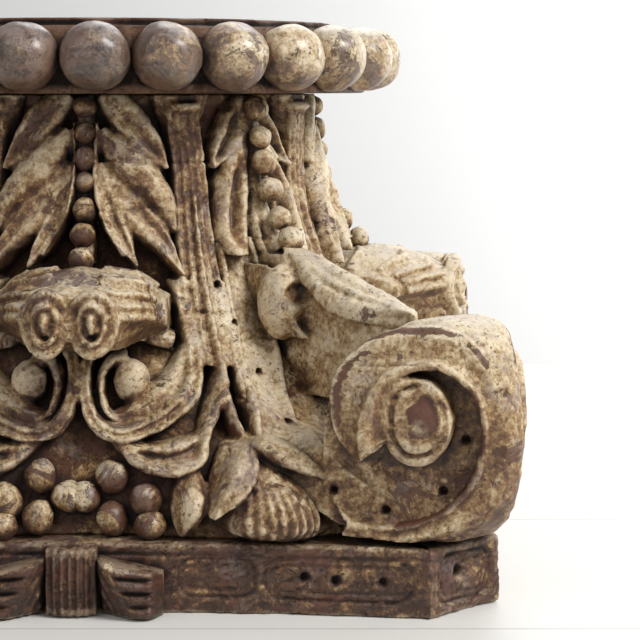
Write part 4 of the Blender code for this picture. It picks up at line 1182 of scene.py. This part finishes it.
def worn_paint_group():
    """Thin old paint over brown wood: cream where it stands proud, partly rubbed edges and partly painted
    edge highlight; rubbed through in patches; dirty, and darker as painted shade, in hollows and underneath;
    lighter on top faces as painted light.
    """
    inputs = [("Place", "Vector"), ("Wood", "Color"), ("Wood Height", "Float", 0.0),
              ("Hollow", "Float", 0.0), ("Ridge", "Float", 0.0), ("Bare", "Float", 0.0),
              ("Upward", "Float", 0.0), ("Cover", "Float", 0.5), ("Grey", "Float", 0.4),
              ("Dirt", "Float", 1.0), ("Rub", "Float", 0.7)]
    outputs = [("Color", "Color"), ("Roughness", "Float"), ("Height", "Float")]
    r, given, out = node_group("Shader", "worn_paint", inputs, outputs)
    place, hollow, ridge = given["Place"], given["Hollow"], given["Ridge"]
    broad = r.cloud(place, 15.0, 5.0, 0.6, 0.5)
    patch = r.cloud(place, 58.0, 8.0, 0.72, 0.7)
    speck = r.cloud(place, 280.0, 5.0, 0.75)
    # Tone: random patches, darker in hollows as painted shade, lighter on ridges as painted edge highlight,
    # darker on bare wood, lighter on top faces and darker underneath as painted light and shade, and lighter
    # to the right partly as painted light.
    tone = r.sum((broad, 0.75), (patch, 0.95), (speck, 1.20), (hollow, -0.42), (ridge, 0.16),
                 (given["Bare"], -0.22), (given["Upward"], 0.22), given["Cover"], -1.49)
    colour = r.ramp(tone, PAINT_ROW)
    lifted = r.sum((r.cloud(place, 34.0, 8.0, 0.72, 0.9), 1.0), (speck, 0.12), (given["Bare"], 0.30),
                   (given["Cover"], -0.32), (ridge, 0.03))
    chipped = r.step(lifted, 0.435, 0.460)
    wood = r.blend(r.step(r.sum((patch, 0.8), (given["Bare"], 0.12)), 0.36, 0.50), given["Wood"], BOLE)
    colour = r.blend(r.times(chipped, 0.92), colour, wood)
    # A waxy greyish bloom that is partly a painted sheen: more on top faces, less in hollows and on bare
    # wood.
    wax_and_sheen = r.sum((r.cloud(place, 44.0, 8.0, 0.72, 0.9), 1.0), (hollow, -0.25), (given["Upward"], 0.10),
                (given["Bare"], -0.2))
    wax_and_sheen = r.times(r.step(wax_and_sheen, 0.53, 0.64), given["Grey"])
    colour = r.blend(wax_and_sheen, colour, WAX_AND_SHEEN_GREY)
    # Cream along ridges, partly rubbed edges and partly a painted edge highlight.
    rubbed = r.times(r.step(ridge, 0.22, 0.75), r.step(r.sum((patch, 0.8), (speck, 0.3)), 0.46, 0.60))
    colour = r.blend(r.times(r.sum(rubbed, (r.times(rubbed, given["Bare"]), -1.0)), given["Rub"]), colour,
                     CREAM)
    pits = r.times(r.step(r.cloud(place, 430.0, 4.0, 0.75), 0.575, 0.64),
                   r.step(broad, 0.40, 0.58, 0.35, 0.95))
    colour = r.blend(r.times(pits, 0.85), colour, GRIME_AND_SHADE)
    # Grime and painted shade: streaks and patches of grime, with painted shade in hollows and underneath and
    # less on ridges.
    streaks = r.cloud(place, 120.0, 6.0, 0.7, 1.2)
    dirt_and_shade = r.sum((hollow, 1.75), (ridge, -0.50), (streaks, 1.15), (broad, 0.35), (given["Upward"], -0.16),
                 -1.07)
    dirt_and_shade = r.times(r.step(dirt_and_shade, 0.0, 0.95), given["Dirt"])
    colour = r.blend(r.times(dirt_and_shade, 0.93), colour, GRIME_AND_SHADE)
    link = r.tree.links.new
    link(colour, out["Color"])
    link(r.sum((wax_and_sheen, -0.14), (chipped, -0.08), (dirt_and_shade, 0.18), (speck, 0.2), 0.46), out["Roughness"])
    link(r.sum((chipped, -0.50), (given["Wood Height"], 0.22), (speck, 0.30), (patch, 0.45), (pits, -0.5)),
         out["Height"])
    return r.tree


def carved_finish(name, wood, paint, fibre, redness, cover_and_light, wax_sheen_share, dirt_and_shade, rub_and_highlight, bump, shade, gloss, polish):
    """One piece's own mix of wood, paint, grime, painted shade and painted light; paint coverage grows to the
    right, partly as less has worn off there and partly as painted light from the right.
    """
    made = bpy.data.materials.new(name)
    made.use_nodes = True
    r = Recipe(made.node_tree)
    shader = made.node_tree.nodes["Principled BSDF"]
    place = r.add("ShaderNodeTexCoord", output="Object")
    x = r.add("ShaderNodeSeparateXYZ", {"Vector": place}, output=0)
    z = r.add("ShaderNodeSeparateXYZ", {"Vector": place}, output=2)
    masks = [r.add("ShaderNodeAttribute", output="Fac", attribute_name=mask) for mask in MASKS]
    hollow, ridge, bare, upward = masks
    under = r.add("ShaderNodeGroup", node_tree=wood)
    wood_node = under.node
    wood_node.inputs["Fibre"].default_value = fibre
    wood_node.inputs["Redness"].default_value = redness
    made.node_tree.links.new(place, wood_node.inputs["Place"])
    # Paint coverage and painted light from the right both grow from left to right.
    far = r.step(x, -0.02, 0.16, cover_and_light[0], cover_and_light[1])
    # A little less towards the bottom, so the paint there is darker.
    high = r.step(z, 0.06, 0.14, -0.05, 0.0)
    over = r.add("ShaderNodeGroup", node_tree=paint)
    node = over.node
    for key, value in (("Place", place), ("Wood", wood_node.outputs["Color"]),
                       ("Wood Height", wood_node.outputs["Height"]),
                       ("Hollow", r.sum(hollow, shade)), ("Ridge", ridge), ("Bare", bare),
                       ("Upward", upward), ("Cover", r.sum(far, high))):
        made.node_tree.links.new(value, node.inputs[key])
    shader.inputs["Specular IOR Level"].default_value = gloss
    shader.inputs["Coat Weight"].default_value = polish
    shader.inputs["Coat Roughness"].default_value = 0.28
    node.inputs["Grey"].default_value = wax_sheen_share
    node.inputs["Dirt"].default_value = dirt_and_shade
    node.inputs["Rub"].default_value = rub_and_highlight
    made.node_tree.links.new(node.outputs["Color"], shader.inputs["Base Color"])
    made.node_tree.links.new(node.outputs["Roughness"], shader.inputs["Roughness"])
    relief = r.add("ShaderNodeBump",
                   {"Height": node.outputs["Height"], "Strength": bump, "Distance": 0.0015})
    made.node_tree.links.new(relief, shader.inputs["Normal"])
    return made


def pale_finish(name, colour, seam_colour, spacing, roughness):
    """Pale paint on wide boards with fine seams; a spacing of nothing leaves it plain."""
    made = bpy.data.materials.new(name)
    made.use_nodes = True
    shader = made.node_tree.nodes["Principled BSDF"]
    shader.inputs["Roughness"].default_value = roughness
    shader.inputs["Base Color"].default_value = colour
    if spacing:
        r = Recipe(made.node_tree)
        place = r.add("ShaderNodeTexCoord", output="Object")
        y = r.add("ShaderNodeSeparateXYZ", {"Vector": place}, output=1)
        saw = r.add("ShaderNodeMath", {0: r.sum(y, 0.26), 1: spacing}, operation="PINGPONG")
        seam = r.step(saw, 0.0, 0.0016, 0.8, 0.0)
        stain = r.times(r.cloud(place, 3.0, 4.0, 0.5), 0.18)
        board = r.blend(stain, colour, seam_colour)
        made.node_tree.links.new(r.blend(seam, board, seam_colour), shader.inputs["Base Color"])
    return made


# The pieces, put on the frame

def shown(piece, node, material):
    piece.data.materials.clear()
    piece.data.materials.append(material)
    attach(piece, "root")
    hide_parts(node)


def main():
    studio(pale_finish("white_boards", rgb(236, 235, 232), rgb(176, 174, 170), 0.14, 0.5),
           pale_finish("pale_wall", rgb(203, 203, 202), rgb(190, 190, 190), 0.0, 0.9))
    wood, paint = old_wood_group(), worn_paint_group()
    upright, level = (70.0, 70.0, 10.0), (12.0, 12.0, 95.0)
    finish = {}
    # fibre, redness, paint coverage and painted light at left and right, share of waxy bloom and painted
    # sheen, grime and painted shade, rubbed edges and painted edge highlight, bump, painted shade over the
    # whole piece, gloss and polish
    for name, *looks in (
        ("painted_carving", upright, 0.55, (0.53, 0.74), 0.38, 0.95, 0.75, 0.65, 0.0, 0.5, 0.12),
        ("painted_volutes", upright, 0.5, (0.86, 0.63), 0.34, 0.6, 0.8, 0.65, 0.0, 0.5, 0.12),
        ("dark_ground", upright, 0.4, (0.4, 0.6), 0.25, 1.05, 0.1, 0.6, 0.0, 0.3, 0.0),
        ("painted_stems", upright, 0.55, (0.55, 0.6), 0.35, 1.0, 0.8, 0.65, 0.0, 0.5, 0.12),
        ("painted_grapes", level, 0.7, (0.58, 0.58), 0.4, 0.4, 0.3, 0.8, 0.0, 0.5, 0.3),
        ("painted_berries", level, 0.5, (0.44, 0.72), 0.4, 0.8, 0.25, 0.8, 0.0, 0.5, 0.12),
        ("painted_beads", level, 0.6, (0.16, 0.66), 0.36, 1.0, 0.12, 0.9, 0.07, 0.8, 0.7),
        ("necking_wood", level, 0.3, (-0.05, 0.2), 0.1, 1.2, 0.1, 0.6, 0.42, 0.15, 0.0),
        ("stained_slab", level, 0.6, (0.34, 0.42), 0.22, 1.0, 0.3, 0.9, 0.04, 0.5, 0.12),
    ):
        finish[name] = carved_finish(name, wood, paint, *looks)

    core = ground()
    leaves = run_together("leaves", all_round(gathered(face_leaf, corner_leaf, corner_tongue, nose, knob)),
                          MOST_TRIANGLES)
    stems = run_together("stems", all_round(gathered(stalk, helix, husk, fan)), MOST_TRIANGLES)
    whole = joined(all_round(gathered(scroll, channel)), all_round(gathered(wedge), mirrored=False))
    volutes = run_together("volutes", whole, MOST_IN_VOLUTES)
    flowers = all_round(gathered(flower))
    slab = abacus_slab()
    trees = bead_tree(), berry_tree()
    beads = grown("beads", [(0, 0, 0)], trees[0], count=BEAD_COUNT, ring_radius=BEAD_RING_RADIUS * MM,
                  seed=3, bead_radius=BEAD_RADIUS * MM, height=BEAD_MIDDLE * MM,
                  first_turn=math.radians(-45.0), material=finish["painted_beads"])
    berries = grown("leaf_berries", berry_points(), trees[1], berry_radius=BERRY_RADIUS * MM, seed=4,
                    material=finish["painted_berries"])
    grapes = grown("grapes", grape_points(), trees[1], berry_radius=GRAPE_RADIUS * MM, seed=6,
                   material=finish["painted_grapes"])
    board = necking_board()
    beads, berries, grapes = uneven(beads, 0.6), uneven(berries, 0.8), uneven(grapes, 0.9)

    everything = joined(core, leaves, stems, volutes, flowers, slab, beads, berries, grapes, board)
    tree = BVHTree.FromPolygons(everything[0].tolist(), everything[1].tolist())
    for name, arrays, node, slot, look, repeats in (
        ("bell_core", core, "bell", "painted_carving", "dark_ground", True),
        ("leaves", leaves, "bell", "painted_carving", "painted_carving", True),
        ("stems", stems, "bell", "painted_carving", "painted_stems", True),
        ("volutes", volutes, "bell", "painted_carving", "painted_volutes", True),
        ("leaf_berries", berries, "bell", "painted_carving", "painted_berries", True),
        ("grapes", grapes, "bell", "painted_carving", "painted_grapes", True),
        ("abacus_slab", slab, "abacus", "stained_wood", "stained_slab", True),
        ("abacus_flowers", flowers, "abacus", "stained_wood", "stained_slab", True),
        ("beads", beads, "bead_ring", "painted_beads", "painted_beads", False),
        ("necking_board", board, "bead_ring", "painted_beads", "necking_wood", False),
    ):
        shown(worn_mesh(name, arrays, tree, repeats), node, finish[look])


main()
